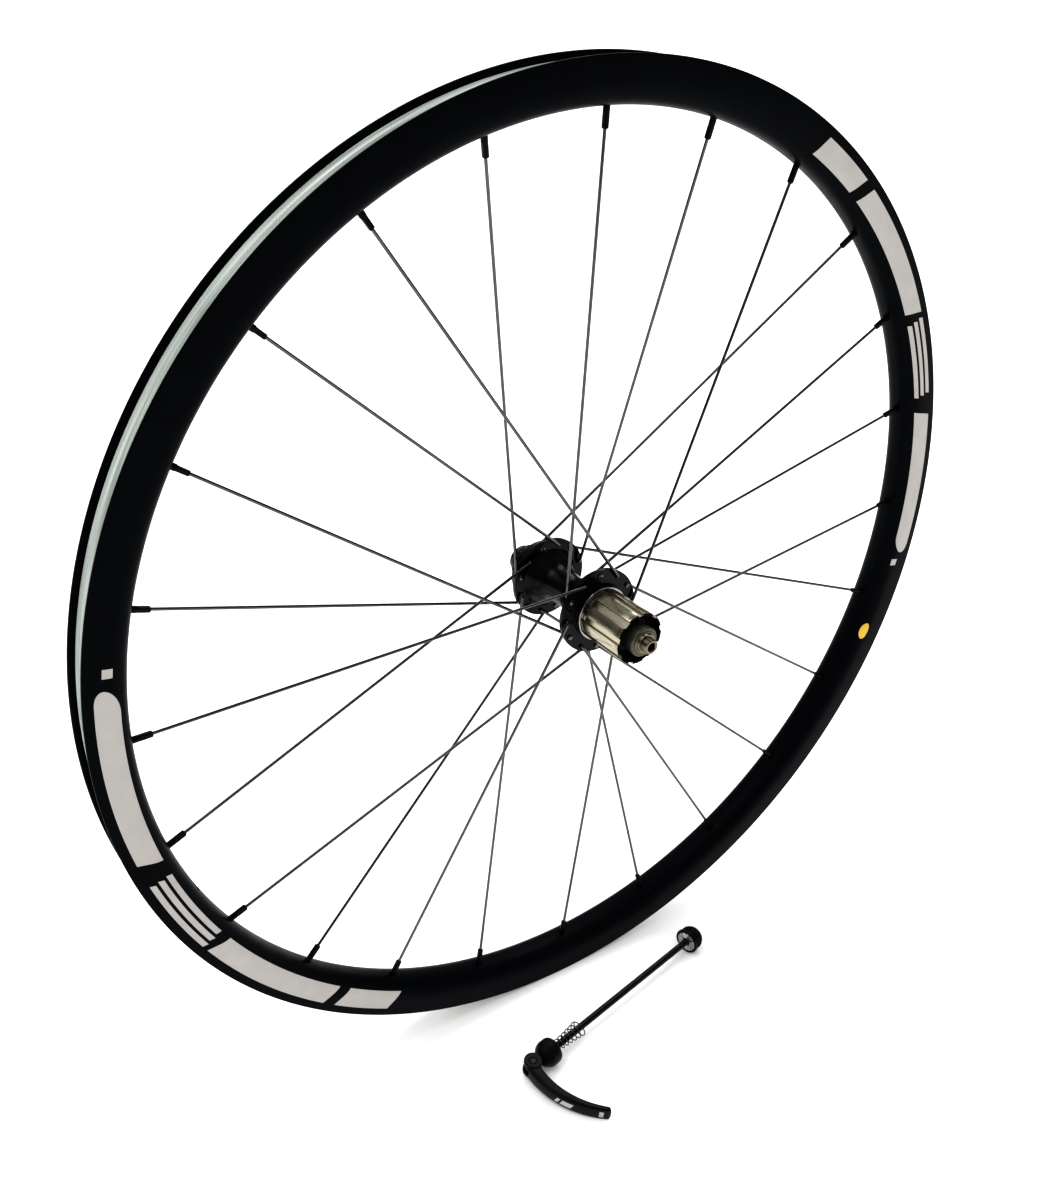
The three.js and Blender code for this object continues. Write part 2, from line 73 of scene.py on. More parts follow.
# ------------------------------------------------------------------ measures taken from the frame
def corners(node):
    """Every vertex of a CAD node, as an array of points in metres."""
    mesh = frame["nodes"][node].data
    flat = np.empty(3 * len(mesh.vertices), np.float32)
    mesh.vertices.foreach_get("co", flat)
    return flat.reshape(-1, 3).astype(float)


def radii(node):
    """A node's distances from the hub axis, one for each vertex."""
    points = corners(node)
    return np.hypot(points[:, 0], points[:, 2])


def joint(name):
    """The record's joint of that name."""
    return next(j for j in frame["joints"] if j["name"] == name)


SPOKE_NODES = sorted(n for n in frame["nodes"] if n.startswith("spoke_"))
RIM_R = float(radii("rim").max())
RIM_FACE_R = float(radii("rim").min())
RIM_HALF = float(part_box("rim")[1].y)
LAND_R = float(radii("freehub_body").max())
FLOOR_Z = -RIM_R

_end = corners(SPOKE_NODES[0])[radii(SPOKE_NODES[0]) > RIM_FACE_R].mean(axis=0)
FIRST_NIPPLE = math.atan2(_end[2], _end[0])

# The skewer's own axes: its rod runs along the first, and its cam pin along the third.
ROD_AXIS = np.array(joint("nut_slide")["axis"], float)
PIN_AXIS = -np.array(joint("lever_swing")["axis"], float)
SKEWER_AXES = np.array([ROD_AXIS, np.cross(PIN_AXIS, ROD_AXIS), PIN_AXIS])
SKEWER_ORIGIN = np.array(joint("lever_swing")["pos_m"], float)


# ------------------------------------------------------------------ settings
def length(name, default, description):
    """A size in metres, as the sidebar shows it."""
    return FloatProperty(
        name=name, description=description, default=default, min=0, unit="LENGTH", precision=5
    )


def number(name, default, description, **limits):
    """A plain number, as the sidebar shows it."""
    return FloatProperty(name=name, description=description, default=default, **limits)


def count_of(name, default, description, least):
    """A whole number, as the sidebar shows it."""
    return IntProperty(name=name, description=description, default=default, min=least)


def bearing_angle(name, degrees, description):
    """An angle given in degrees."""
    return number(name, math.radians(degrees), description, subtype="ANGLE")


def colour(name, default, description):
    """A linear colour, as the sidebar shows it."""
    return FloatVectorProperty(
        name=name, description=description, default=default, min=0, max=1, size=3, subtype="COLOR"
    )


class RimSettings(PropertyGroup):
    outer_r: length("Outer radius", RIM_R, "From the hub axis to the top of the bead hooks")
    face_r: length("Spoke face radius", RIM_FACE_R, "From the hub axis to the face that the nipples leave")
    half_width: length("Half width", RIM_HALF, "From the middle plane to a sidewall")
    shoulder_r: length("Shoulder radius", 304.5 * MM, "Where the sidewall starts to curve in")
    hole_r: length("Nipple hole radius", 2.35 * MM, "Radius of the drilled holes in the spoke face")
    valve_r: length("Valve hole radius", 3.25 * MM, "Radius of the valve hole")
    roundness: number("Roundness", 2.4, "Exponent of the curve across the rim", min=1.2, max=6)
    valve_angle: bearing_angle("Valve angle", -156.28, "Where the valve hole lies, from +X towards +Z")
    black: colour("Rim", (0.0020, 0.0027, 0.0042), "Anodised skin of the rim")
    graphic: colour("Graphics", (0.40, 0.38, 0.36), "Printed bars on the sidewalls")
    sticker: colour("Sticker", (0.62, 0.42, 0.05), "Oval inspection sticker")
    tape: colour("Rim tape", (0.46, 0.50, 0.47), "Tape in the tyre channel")


class SpokeSettings(PropertyGroup):
    crossing: bearing_angle("Crossing", 60, "How far a hub hole lies ahead of or behind its nipple")
    shaft_r: length("Shaft radius", 0.95 * MM, "Radius of the wire between elbow and nipple")
    neck_r: length("Neck radius", 1.04 * MM, "Radius of the wire in the flange and the elbow")
    head_r: length("Head radius", 1.85 * MM, "Radius of the domed head")
    bend: length("Elbow length", 2.0 * MM, "From the elbow's corner to where it is straight")
    nipple_r: length("Nipple radius", 1.95 * MM, "Radius of the nipple's body")
    nipple_length: length("Nipple length", 11.5 * MM, "How far a nipple stands out of the rim")
    sides: count_of("Sides", 16, "Facets round each wire", 6)
    steel: colour("Wire", (0.12, 0.12, 0.116), "Drawn stainless steel")
    nipple: colour("Nipple", (0.0030, 0.0030, 0.0036), "Black brass nipples")


class HubSettings(PropertyGroup):
    drive_y: length("Drive flange", 18.0 * MM, "From the rim's middle plane to the sprocket-side flange")
    drive_r: length("Drive flange radius", 28.4 * MM, "Outer radius of the sprocket-side flange")
    drive_hole_r: length("Drive hole circle", 25.0 * MM, "Radius of the sprocket-side hole circle")
    brake_y: length("Brake flange", 35.5 * MM, "From the rim's middle plane to the brake-side flange")
    brake_r: length("Brake flange radius", 27.2 * MM, "Outer radius of the brake-side flange")
    brake_hole_r: length("Brake hole circle", 23.5 * MM, "Radius of the brake-side hole circle")
    thick: length("Flange thickness", 3.0 * MM, "Thickness of both flanges")
    seat_teeth: count_of("Rotor seat teeth", 18, "Splines for the rotor", 6)
    black: colour("Hub", (0.0016, 0.0018, 0.0023), "Gloss anodised hub shell")
    bearing: colour("Bearing steel", (0.48, 0.49, 0.50), "Ground steel inside the hub")


class FreehubSettings(PropertyGroup):
    land_r: length("Land radius", LAND_R, "Outer radius of the splines")
    groove_r: length("Groove radius", 15.7 * MM, "Radius at the bottom of the grooves")
    mouth_r: length("Mouth radius", 15.2 * MM, "Radius of the threaded mouth")
    grooves: count_of("Grooves", 9, "Grooves round the splined body", 3)
    key_groove: bearing_angle("Key groove", 131.5, "Where the wide groove lies, from +X towards +Z")
    nickel: colour("Body", (0.47, 0.435, 0.34), "Champagne anodised splined body")
    cap: colour("End cap", (0.085, 0.085, 0.066), "Olive-grey end cap")
    stub: colour("Axle stub", (0.20, 0.18, 0.13), "Warm steel of the axle stub")


class SkewerSettings(PropertyGroup):
    rod_r: length("Rod radius", 2.5 * MM, "Radius of the rod")
    rod_end: length("Rod end", 183 * MM, "From the cam pin to the rod's threaded end")
    nut_face: length("Nut face", 172.6 * MM, "From the cam pin to the nut's toothed face")
    spring_turns: count_of("Spring turns", 7, "Turns of the conical spring", 2)
    rod: colour("Rod", (0.0060, 0.0055, 0.0048), "Blackened steel rod")
    lever: colour("Lever", (0.0018, 0.0020, 0.0030), "Black painted lever")
    plastic: colour("Plastic", (0.0026, 0.0028, 0.0036), "Black moulded cap and nut")
    insert: colour("Insert", (0.42, 0.43, 0.43), "Toothed steel inserts")
    mark: colour("Mark", (0.38, 0.375, 0.365), "Pale printed mark on the lever")


class StageSettings(PropertyGroup):
    floor_r: length("Floor radius", 40.0, "Radius of the pale studio floor")
    ambient: number("Ambient", 0.84, "Strength of the soft light from all round")
    key_power: number("Key light", 4, "Power of the main soft box", unit="POWER")
    back_power: number("Back light", 4, "Power of the rear strip", unit="POWER")
    sun: number("Suns", 0.5, "Strength of each of the two broad even lights")
    floor: colour("Floor", (0.97, 0.97, 0.965), "Pale studio floor")


# ------------------------------------------------------------------ shapes worked out on grids
def ease(t):
    """A smooth step: 0 below 0, 1 above 1, and 3t^2 - 2t^3 between."""
    t = np.clip(t, 0, 1)
    return t * t * (3 - 2 * t)


def rounded(outline, closed=True, steps=5):
    """An outline whose corners are cut back and joined by a parabola. Each corner is (a, b, cut)."""
    spec = np.array([(*p, 0)[:3] for p in outline], float)
    points, back = spec[:, :2], spec[:, 2]
    before, after = np.roll(points, 1, 0) - points, np.roll(points, -1, 0) - points
    reach_before = np.maximum(np.linalg.norm(before, axis=1), 1e-12)
    reach_after = np.maximum(np.linalg.norm(after, axis=1), 1e-12)
    back = np.minimum(back, 0.48 * np.minimum(reach_before, reach_after))
    if not closed:
        back[[0, -1]] = 0
    start = points + before * (back / reach_before)[:, None]
    end = points + after * (back / reach_after)[:, None]
    t = np.linspace(0, 1, steps)[None, :, None]
    curve = (1 - t) ** 2 * start[:, None] + 2 * t * (1 - t) * points[:, None] + t**2 * end[:, None]
    curve = curve.reshape(-1, 2)
    apart = np.linalg.norm(curve - np.roll(curve, 1, 0), axis=1) > 1e-9
    apart[0] = apart[0] or not closed
    return curve[apart]


def through(knots, steps=8):
    """A Catmull-Rom curve through the knots: a cubic whose slope at a knot joins its two neighbours."""
    knots = np.asarray(knots, float)
    padded = np.vstack([2 * knots[0] - knots[1], knots, 2 * knots[-1] - knots[-2]])
    t = np.linspace(0, 1, steps, endpoint=False)[None, :, None]
    a, b, c, d = (padded[i:len(padded) - 3 + i, None] for i in range(4))
    curve = 0.5 * (2 * b + (c - a) * t + (2 * a - 5 * b + 4 * c - d) * t**2 + (3 * b - a - 3 * c + d) * t**3)
    return np.vstack([curve.reshape(-1, knots.shape[1]), knots[-1]])


def spun(r, y, angle):
    """Points of a surface of revolution about Y: radius r and angle a give (r cos a, y, r sin a)."""
    r, y, angle = np.broadcast_arrays(r, y, angle)
    return np.stack([r * np.cos(angle), y, r * np.sin(angle)], axis=-1)


def spun_on_rod(x, r, angle):
    """Points of a surface of revolution about the skewer's rod: (x, r cos a, r sin a) in its own axes."""
    x, r, angle = np.broadcast_arrays(x, r, angle)
    return to_skewer(np.stack([x, r * np.cos(angle), r * np.sin(angle)], axis=-1))


def around(count):
    """Equal angles round a whole turn."""
    return np.arange(count) * TURN / count


def wrapped(angle, period=TURN):
    """An angle brought within half a period of zero."""
    return (angle + period / 2) % period - period / 2


def laid_out(angles, columns):
    """The angle, radius and place along Y of each grid point, for (radius, y) columns at every angle."""
    shape = (len(angles), len(columns))
    return (np.broadcast_to(v, shape).copy() for v in (angles[:, None], columns[:, 0], columns[:, 1]))


def carried(path, side, up, across, along):
    """A section carried along a path: each point is path point + across times side + along times up."""
    return path[:, None] + across[..., None] * side[:, None] + along[..., None] * up[:, None]


def square_to_round(u, v, centre, hole, reach):
    """Grid lines round a hole made round. A point whose larger offset is m moves to distance m from the
    centre, and the move fades to nothing at the reach. Also gives 1 inside the hole and 0 outside."""
    du, dv = u - centre[0], v - centre[1]
    m, d = np.maximum(abs(du), abs(dv)), np.hypot(du, dv)
    share = 1 - ease((m - hole) / (reach - hole))
    k = 1 + (m / np.maximum(d, 1e-12) - 1) * share
    inside = np.clip((hole - m) / (0.04 * hole), 0, 1)
    return centre[0] + du * k, centre[1] + dv * k, inside


def ring_offsets(hole):
    """Where grid lines stand on both sides of a hole's centre."""
    near = np.array([0.45, 0.8, 0.96, 1.0, 1.08, 1.35, 1.75]) * hole
    return np.concatenate([-near[::-1], [0], near])


def to_skewer(points):
    """Points in the skewer's own axes, in the frame."""
    return SKEWER_ORIGIN + points @ SKEWER_AXES


# ------------------------------------------------------------------ meshes
def quads(shape, wrap):
    """The corner numbers of the quads between neighbouring points of a grid."""
    rows, columns = shape
    i, j = np.indices((rows if wrap[0] else rows - 1, columns if wrap[1] else columns - 1))
    i2, j2 = (i + 1) % rows, (j + 1) % columns
    around_quad = ((i, j), (i2, j), (i2, j2), (i, j2))
    return np.stack([a * columns + b for a, b in around_quad], -1).reshape(-1, 4)


def signed_volume(points, faces):
    """A sixth of the sum of the triple products of each quad's two triangles."""
    a, b, c, d = (points[faces[:, k]] for k in range(4))
    return (np.cross(b, c) * a).sum() / 6 + (np.cross(c, d) * a).sum() / 6


def grid(points, wrap=(True, True), material=0):
    """One grid of a piece: its points, whether it closes on itself each way, and its material's number, or
    one number for each column."""
    points = np.asarray(points, float)
    faces = quads(points.shape[:2], wrap)
    if np.ndim(material):
        material = np.tile(material, len(faces) // len(material))
    points = points.reshape(-1, 3)
    if signed_volume(points - points.mean(axis=0), faces) < 0:
        faces = faces[:, ::-1]
    return points, faces, material


def strip(outer, inner):
    """A thin solid between two skins: a loop round both, and a cap at each end."""
    loop = np.concatenate([outer, inner[:, ::-1]], axis=1)
    count = outer.shape[1]
    caps = [np.stack([loop[k, :count], loop[k, : count - 1 : -1]], axis=1) for k in (0, -1)]
    return [grid(loop, (False, True))] + [grid(cap, (False, False)) for cap in caps]


def mesh_of(name, grids):
    """A mesh from grids. Points at the same place are one, and a quad that loses a corner is a triangle."""
    starts = np.cumsum([0] + [len(g[0]) for g in grids[:-1]])
    points = np.concatenate([g[0] for g in grids])
    faces = np.concatenate([g[1] + s for g, s in zip(grids, starts)])
    slots = np.concatenate([np.full(len(g[1]), g[2], np.int32) for g in grids])
    places = np.round(points * 1e7).astype(np.int64)
    _, first, same = np.unique(places, axis=0, return_index=True, return_inverse=True)
    points, faces = points[first], same.reshape(-1)[faces]
    kept = faces != np.roll(faces, -1, axis=1)
    whole = kept.sum(axis=1) >= 3
    loops = faces[whole][kept[whole]]
    begins = np.concatenate([[0], np.cumsum(kept[whole].sum(axis=1))[:-1]])
    mesh = bpy.data.meshes.new(name)
    mesh.vertices.add(len(points))
    mesh.vertices.foreach_set("co", points.astype(np.float32).ravel())
    mesh.loops.add(len(loops))
    mesh.loops.foreach_set("vertex_index", loops.astype(np.int32))
    mesh.polygons.add(len(begins))
    mesh.polygons.foreach_set("loop_start", begins.astype(np.int32))
    mesh.polygons.foreach_set("material_index", slots[whole])
    mesh.update(calc_edges=True)
    mesh.validate()
    return mesh


def piece(name, grids, materials, body, stands_for="", crease=40):
    """A finished piece: its mesh, shaded smooth up to a crease angle in degrees, and what it rides on. The
    finishes, and the CAD nodes that it stands for, are words with spaces between."""
    mesh = grids if isinstance(grids, bpy.types.Mesh) else mesh_of(name, grids)
    mesh.name = name
    if mesh.materials:
        mesh.materials.clear()
    for material in materials.split():
        mesh.materials.append(finish(material))
    mesh.shade_smooth()
    mesh.set_sharp_from_angle(angle=math.radians(crease))
    made = bpy.data.objects.new(name, mesh)
    bpy.context.scene.collection.objects.link(made)
    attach(made, body)
    if stands_for:
        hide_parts(*stands_for.split())


# ------------------------------------------------------------------ material effects
class Steps:
    """Adds nodes to a tree, one step a line. A number, a colour or another node's output feeds an input."""

    def __init__(self, tree):
        self.tree = tree

    def feed(self, node, inputs):
        for socket, value in inputs.items():
            if isinstance(value, bpy.types.NodeSocket):
                self.tree.links.new(value, node.inputs[socket])
            else:
                node.inputs[socket].default_value = value

    def node(self, kind, inputs=None, **settings):
        made = self.tree.nodes.new(kind)
        for name, value in settings.items():
            setattr(made, name, value)
        self.feed(made, inputs or {})
        return made

    def maths(self, operation, a, b=0.0):
        return self.node("ShaderNodeMath", {0: a, 1: b}, operation=operation).outputs[0]

    def noise(self, vector, scale, detail=2.0, rough=0.5):
        inputs = {"Vector": vector, "Scale": scale, "Detail": detail, "Roughness": rough}
        return self.node("ShaderNodeTexNoise", inputs).outputs["Fac"]

    def spread(self, value, low, high, to_low=0.0, to_high=1.0):
        inputs = {"Value": value, 1: low, 2: high, 3: to_low, 4: to_high}
        return self.node("ShaderNodeMapRange", inputs).outputs["Result"]


def effect(name):
    """A shader node group with inputs Position and Size and outputs Height and Shade, made on first use."""
    found = bpy.data.node_groups.get(name)
    if found:
        return found
    tree = bpy.data.node_groups.new(name, "ShaderNodeTree")
    for label, way, kind in (
        ("Position", "INPUT", "Vector"), ("Size", "INPUT", "Float"),
        ("Height", "OUTPUT", "Float"), ("Shade", "OUTPUT", "Float"),
    ):
        tree.interface.new_socket(label, in_out=way, socket_type=f"NodeSocket{kind}")
    steps = Steps(tree)
    given = steps.node("NodeGroupInput")
    height, shade = EFFECTS[name](steps, given.outputs["Position"], given.outputs["Size"])
    steps.node("NodeGroupOutput", {"Height": height, "Shade": shade})
    return tree


def cylinder_place(steps, position):
    """Radius, place along Y, and arc length round Y, from a position."""
    parts = steps.node("ShaderNodeSeparateXYZ", {0: position})
    x, y, z = (parts.outputs[k] for k in "XYZ")
    squares = steps.maths("ADD", steps.maths("MULTIPLY", x, x), steps.maths("MULTIPLY", z, z))
    radius = steps.maths("SQRT", squares)
    arc = steps.maths("MULTIPLY", steps.maths("ARCTAN2", z, x), radius)
    return radius, y, arc


def in_units(steps, size, a, b, c):
    """Three lengths as a vector, in units of the size."""
    parts = {k: steps.maths("DIVIDE", v, size) for k, v in zip("XYZ", (a, b, c))}
    return steps.node("ShaderNodeCombineXYZ", parts).outputs[0]


def grain(steps, position, size):
    """Even fine grain: noise a size across, and broad patches sixty sizes across."""
    scale = steps.maths("DIVIDE", 1.0, size)
    fine = steps.noise(position, scale, 3.0)
    broad = steps.noise(position, steps.maths("DIVIDE", scale, 60.0), 4.0, 0.6)
    return fine, steps.spread(broad, 0.3, 0.7)


def turned_lines(steps, position, size):
    """Lathe lines: noise that changes along the radius and the axis, and hardly round the turn."""
    radius, along, arc = cylinder_place(steps, position)
    slow_arc = steps.maths("MULTIPLY", arc, 0.004)
    place = in_units(steps, size, radius, along, slow_arc)
    return steps.noise(place, 1.0, 3.0, 0.65), steps.spread(steps.noise(place, 0.13, 2.0), 0.35, 0.65)


def drawn_lines(steps, position, size):
    """Lines along the axis: noise that changes round the turn, and slowly along it."""
    radius, along, arc = cylinder_place(steps, position)
    slow_along = steps.maths("MULTIPLY", along, 0.012)
    slow_radius = steps.maths("MULTIPLY", radius, 0.2)
    place = in_units(steps, size, arc, slow_along, slow_radius)
    return steps.noise(place, 1.0, 4.0, 0.6), steps.spread(steps.noise(place, 0.08, 2.0), 0.35, 0.65)


def woven(steps, position, size):
    """A plain weave: the product of a sine round the turn and a sine across it, over soft wrinkles."""
    radius, along, arc = cylinder_place(steps, position)
    warp = steps.maths("SINE", steps.maths("DIVIDE", arc, size))
    weft = steps.maths("SINE", steps.maths("DIVIDE", along, size))
    threads = steps.maths("MULTIPLY", warp, weft)
    wrinkles = steps.noise(in_units(steps, size, steps.maths("MULTIPLY", arc, 0.02), along, radius), 0.3, 2.0)
    height = steps.maths("ADD", steps.maths("MULTIPLY", threads, 0.25), wrinkles)
    return height, steps.spread(wrinkles, 0.3, 0.7)


def hairlines(steps, position, size):
    """Rare handling scratches: noise stretched along two slants, kept only where it is highest."""
    scale = steps.maths("DIVIDE", 1.0, size)
    found = []
    for slant in (0.6, -0.9):
        turned = steps.node("ShaderNodeMapping", {"Vector": position, "Rotation": (slant, slant, 0.4)})
        thin = {0: turned.outputs[0], 1: (1, 1, 0.03)}
        stretched = steps.node("ShaderNodeVectorMath", thin, operation="MULTIPLY").outputs[0]
        found.append(steps.spread(steps.noise(stretched, scale, 1.0), 0.70, 0.74))
    smears = steps.noise(position, steps.maths("DIVIDE", 0.02, size), 4.0, 0.65)
    return steps.maths("MAXIMUM", *found), steps.spread(smears, 0.3, 0.7)


def skewer_place(steps, position):
    """A position on the skewer, turned so that the rod lies along Y through the origin."""
    axes = np.array([-SKEWER_AXES[1], SKEWER_AXES[0], SKEWER_AXES[2]])
    turn = Matrix(axes.tolist()).to_euler("XYZ")
    inputs = {"Vector": position, "Rotation": turn, "Location": (-axes @ SKEWER_ORIGIN).tolist()}
    return steps.node("ShaderNodeMapping", inputs, vector_type="POINT").outputs[0]


EFFECTS = {
    "grain": grain, "turned_lines": turned_lines, "drawn_lines": drawn_lines, "woven": woven,
    "hairlines": hairlines,
}
ON_SKEWER = {"rod_black", "lever_black", "moulded_black", "insert_steel", "spring_steel", "mark_pale"}
SCRATCH_SIZE = 0.25 * MM
SCRATCH_ROUGHNESS = 0.12
# Near-black painted shade for the freehub's threaded mouth and end face, standing in for the shadowed bore.
MOUTH_PAINTED_SHADE = (0.004, 0.004, 0.004)
RING_STEEL = (0.36, 0.35, 0.33)
RUBBER = (0.012, 0.012, 0.012)
SPRING_STEEL = (0.13, 0.13, 0.125)


def surface(name, base, metallic, rough, texture, size, depth, tone, specular=0.5, on_skewer=False):
    """A finished material. Base colour varies by tone with the texture's shade, roughness runs between two
    values with smears and scratches, and the texture's height is a bump. Its size and depth are in mm."""
    material = bpy.data.materials.new(name)
    material.use_nodes = True
    steps = Steps(material.node_tree)
    position = steps.node("ShaderNodeTexCoord").outputs["Object"]
    if on_skewer:
        position = skewer_place(steps, position)
    made = []
    for label, unit in ((texture, size * MM), ("hairlines", SCRATCH_SIZE)):
        inputs = {"Position": position, "Size": unit}
        made.append(steps.node("ShaderNodeGroup", inputs, node_tree=effect(label)).outputs)
    detail, wear = made
    darker = tuple(c * (1 - tone) for c in base)
    lighter = tuple(min(1, c * (1 + tone)) for c in base)
    inputs = {0: detail["Shade"], 6: (*darker, 1), 7: (*lighter, 1)}
    tinted = steps.node("ShaderNodeMix", inputs, data_type="RGBA").outputs[2]
    smear = steps.spread(wear["Shade"], 0.0, 1.0, *rough)
    bump = {"Height": detail["Height"], "Distance": depth * MM, "Strength": 1.0}
    steps.feed(material.node_tree.nodes["Principled BSDF"], {
        "Base Color": tinted,
        "Roughness": steps.maths("ADD", smear, steps.maths("MULTIPLY", wear["Height"], SCRATCH_ROUGHNESS)),
        "Normal": steps.node("ShaderNodeBump", bump).outputs[0],
        "Metallic": metallic,
        "Specular IOR Level": specular,
    })
    return material


def finishes():
    """Each finish: colour, metallic, roughness range, texture, its size and depth in mm, how far the tone
    varies, and the specular level where it isn't a half."""
    scene = bpy.context.scene
    rim, wire, hub = scene.wheel_rim, scene.wheel_spokes, scene.wheel_hub
    free, skewer, stage = scene.wheel_freehub, scene.wheel_skewer, scene.wheel_stage
    return {
        "rim_black": (rim.black, 0.0, (0.34, 0.44), "grain", 0.30, 0.012, 0.20, 0.055),
        "print_grey": (rim.graphic, 0.0, (0.40, 0.50), "grain", 0.20, 0.006, 0.05),
        "sticker_yellow": (rim.sticker, 0.0, (0.35, 0.45), "grain", 0.20, 0.006, 0.08),
        "tape_silver": (rim.tape, 0.1, (0.32, 0.50), "woven", 0.35, 0.16, 0.30),
        "wire_steel": (wire.steel, 1.0, (0.16, 0.26), "grain", 0.12, 0.004, 0.12),
        "nipple_black": (wire.nipple, 0.3, (0.22, 0.34), "grain", 0.15, 0.008, 0.15, 0.15),
        "hub_gloss": (hub.black, 0.0, (0.16, 0.24), "turned_lines", 0.12, 0.003, 0.15, 0.2),
        "bearing_ground": (hub.bearing, 1.0, (0.20, 0.32), "turned_lines", 0.08, 0.004, 0.10),
        "ratchet_hard": (hub.bearing, 1.0, (0.30, 0.45), "grain", 0.10, 0.010, 0.20),
        "freehub_nickel": (free.nickel, 1.0, (0.16, 0.28), "drawn_lines", 0.16, 0.014, 0.10),
        # Painted shade: the freehub's mouth and end face are drawn near-black as if lying in shadow.
        "mouth_dark": (MOUTH_PAINTED_SHADE, 0.0, (0.35, 0.50), "turned_lines", 0.10, 0.006, 0.2, 0.04),
        "ring_polished": (RING_STEEL, 1.0, (0.07, 0.16), "turned_lines", 0.10, 0.002, 0.05),
        "cap_olive": (free.cap, 0.65, (0.30, 0.42), "turned_lines", 0.12, 0.008, 0.15),
        "stub_warm": (free.stub, 1.0, (0.20, 0.32), "turned_lines", 0.10, 0.006, 0.15),
        "seal_rubber": (RUBBER, 0.0, (0.70, 0.85), "grain", 0.20, 0.020, 0.2),
        "rod_black": (skewer.rod, 0.3, (0.20, 0.32), "drawn_lines", 0.20, 0.006, 0.2, 0.3),
        "lever_black": (skewer.lever, 0.0, (0.26, 0.36), "grain", 0.25, 0.010, 0.2, 0.16),
        "moulded_black": (skewer.plastic, 0.0, (0.36, 0.48), "grain", 0.22, 0.016, 0.2, 0.16),
        "insert_steel": (skewer.insert, 1.0, (0.18, 0.30), "turned_lines", 0.10, 0.006, 0.1),
        "spring_steel": (SPRING_STEEL, 1.0, (0.22, 0.34), "grain", 0.10, 0.003, 0.1),
        "mark_pale": (skewer.mark, 0.0, (0.40, 0.50), "grain", 0.20, 0.004, 0.05),
        "floor_pale": (stage.floor, 0.0, (0.55, 0.65), "grain", 2.0, 0.02, 0.01, 0.0),
    }


def finish(name):
    """The material of that finish, made on first use."""
    label = f"finish_{name}"
    found = bpy.data.materials.get(label)
    return found or surface(label, *finishes()[name], on_skewer=name in ON_SKEWER)


def refinish(material, *nodes):
    """Gives CAD nodes that stay as they are a better material."""
    for node in nodes:
        for place in frame["nodes"][node].material_slots:
            place.material = finish(material)


# ------------------------------------------------------------------ rim, decals and tape
RIM_SEGMENTS = 360
SEAT_DEPTH, WELL_DEPTH = 5.5 * MM, 9.5 * MM  # from the top of the hooks
NIPPLE_HOLE_DEPTH, RIM_CHAMFER = 5 * MM, 0.2 * MM
TAPE_GAP, TAPE_TOP = 0.32 * MM, 0.9 * MM  # both faces of the tape, above the channel
DIMPLE_DEPTH, DIMPLE_R = 0.42 * MM, 3.2 * MM

# A hole bends the grid lines out to this many times its radius, and less far in the narrow well.
SPREAD, WELL_SPREAD = 1.75, 1.34
LIP_REACH = 1.08

# Printed bars: start and end in degrees round their zone, lean in degrees, and 1 where the end is round.
BARS = [(0, 8.6, 1.2, 0), (10.4, 30.6, 1.2, 0), (46.2, 67.8, 1.2, 1)]
BAR_LOW, BAR_HIGH = 297.3 * MM, 310.8 * MM
GRAPHIC_ZONES = (62, 242)  # where each zone starts, in degrees
STRIPES, STRIPE_STEP, STRIPE_WIDTH = 3, 5.1, 3.3
STRIPE_SPAN = (32.4, 43.9)
SQUARE_HALF = 2.7 * MM
SQUARES = ((352, 301.5), (171.7, 304))  # angle in degrees and radius in mm


def face_radius(y, rim):
    """The rim's radius across its spoke face: a superellipse from the face to the shoulder."""
    across = np.clip(abs(y) / rim.half_width, 0, 1) ** rim.roundness
    return rim.shoulder_r - (rim.shoulder_r - rim.face_r) * (1 - across) ** (1 / rim.roundness)


def side_y(r, rim):
    """The half width of the rim at a radius: the same superellipse, and the flat sidewall above it."""
    drop = np.clip((rim.shoulder_r - r) / (rim.shoulder_r - rim.face_r), 0, 1) ** rim.roundness
    return rim.half_width * (1 - drop) ** (1 / rim.roundness)


def drilled(theta, across, at_r, holes, spread):
    """Grid lines made round at each hole (angle, radius). Gives the moved grid, how far a point lies into
    a hole from 0 to 1, and how far into the small chamfer round it."""
    into, lip = np.zeros_like(across), np.zeros_like(across)
    for angle, hole in holes:
        off = wrapped(theta - angle) * at_r
        near = np.maximum(abs(off), abs(across)) < spread * hole
        u, v, inside = square_to_round(off, across, (0, 0), hole, spread * hole)
        into = np.where(near, inside, into)
        lip = np.where(near, np.clip((LIP_REACH - np.hypot(u, v) / hole) / (LIP_REACH - 1), 0, 1), lip)
        theta = np.where(near, angle + u / at_r, theta)
        across = np.where(near, v, across)
    return theta, across, into, lip


def lines_round(count, holes, at_r):
    """Angles of the grid lines round the wheel: even ones, and a set of closer ones at each hole."""
    angles = around(count)
    for angle, hole in holes:
        off = abs(wrapped(angles - angle)) * at_r
        angles = np.concatenate([angles[off > SPREAD * hole * 1.15], angle + ring_offsets(hole) / at_r])
    return np.sort(angles % TURN)


def open_floor(made, into):
    """A grid's faces without those that lie wholly inside a hole."""
    points, faces, material = made
    return points, faces[~(into.reshape(-1)[faces] > 0.99).all(axis=1)], material


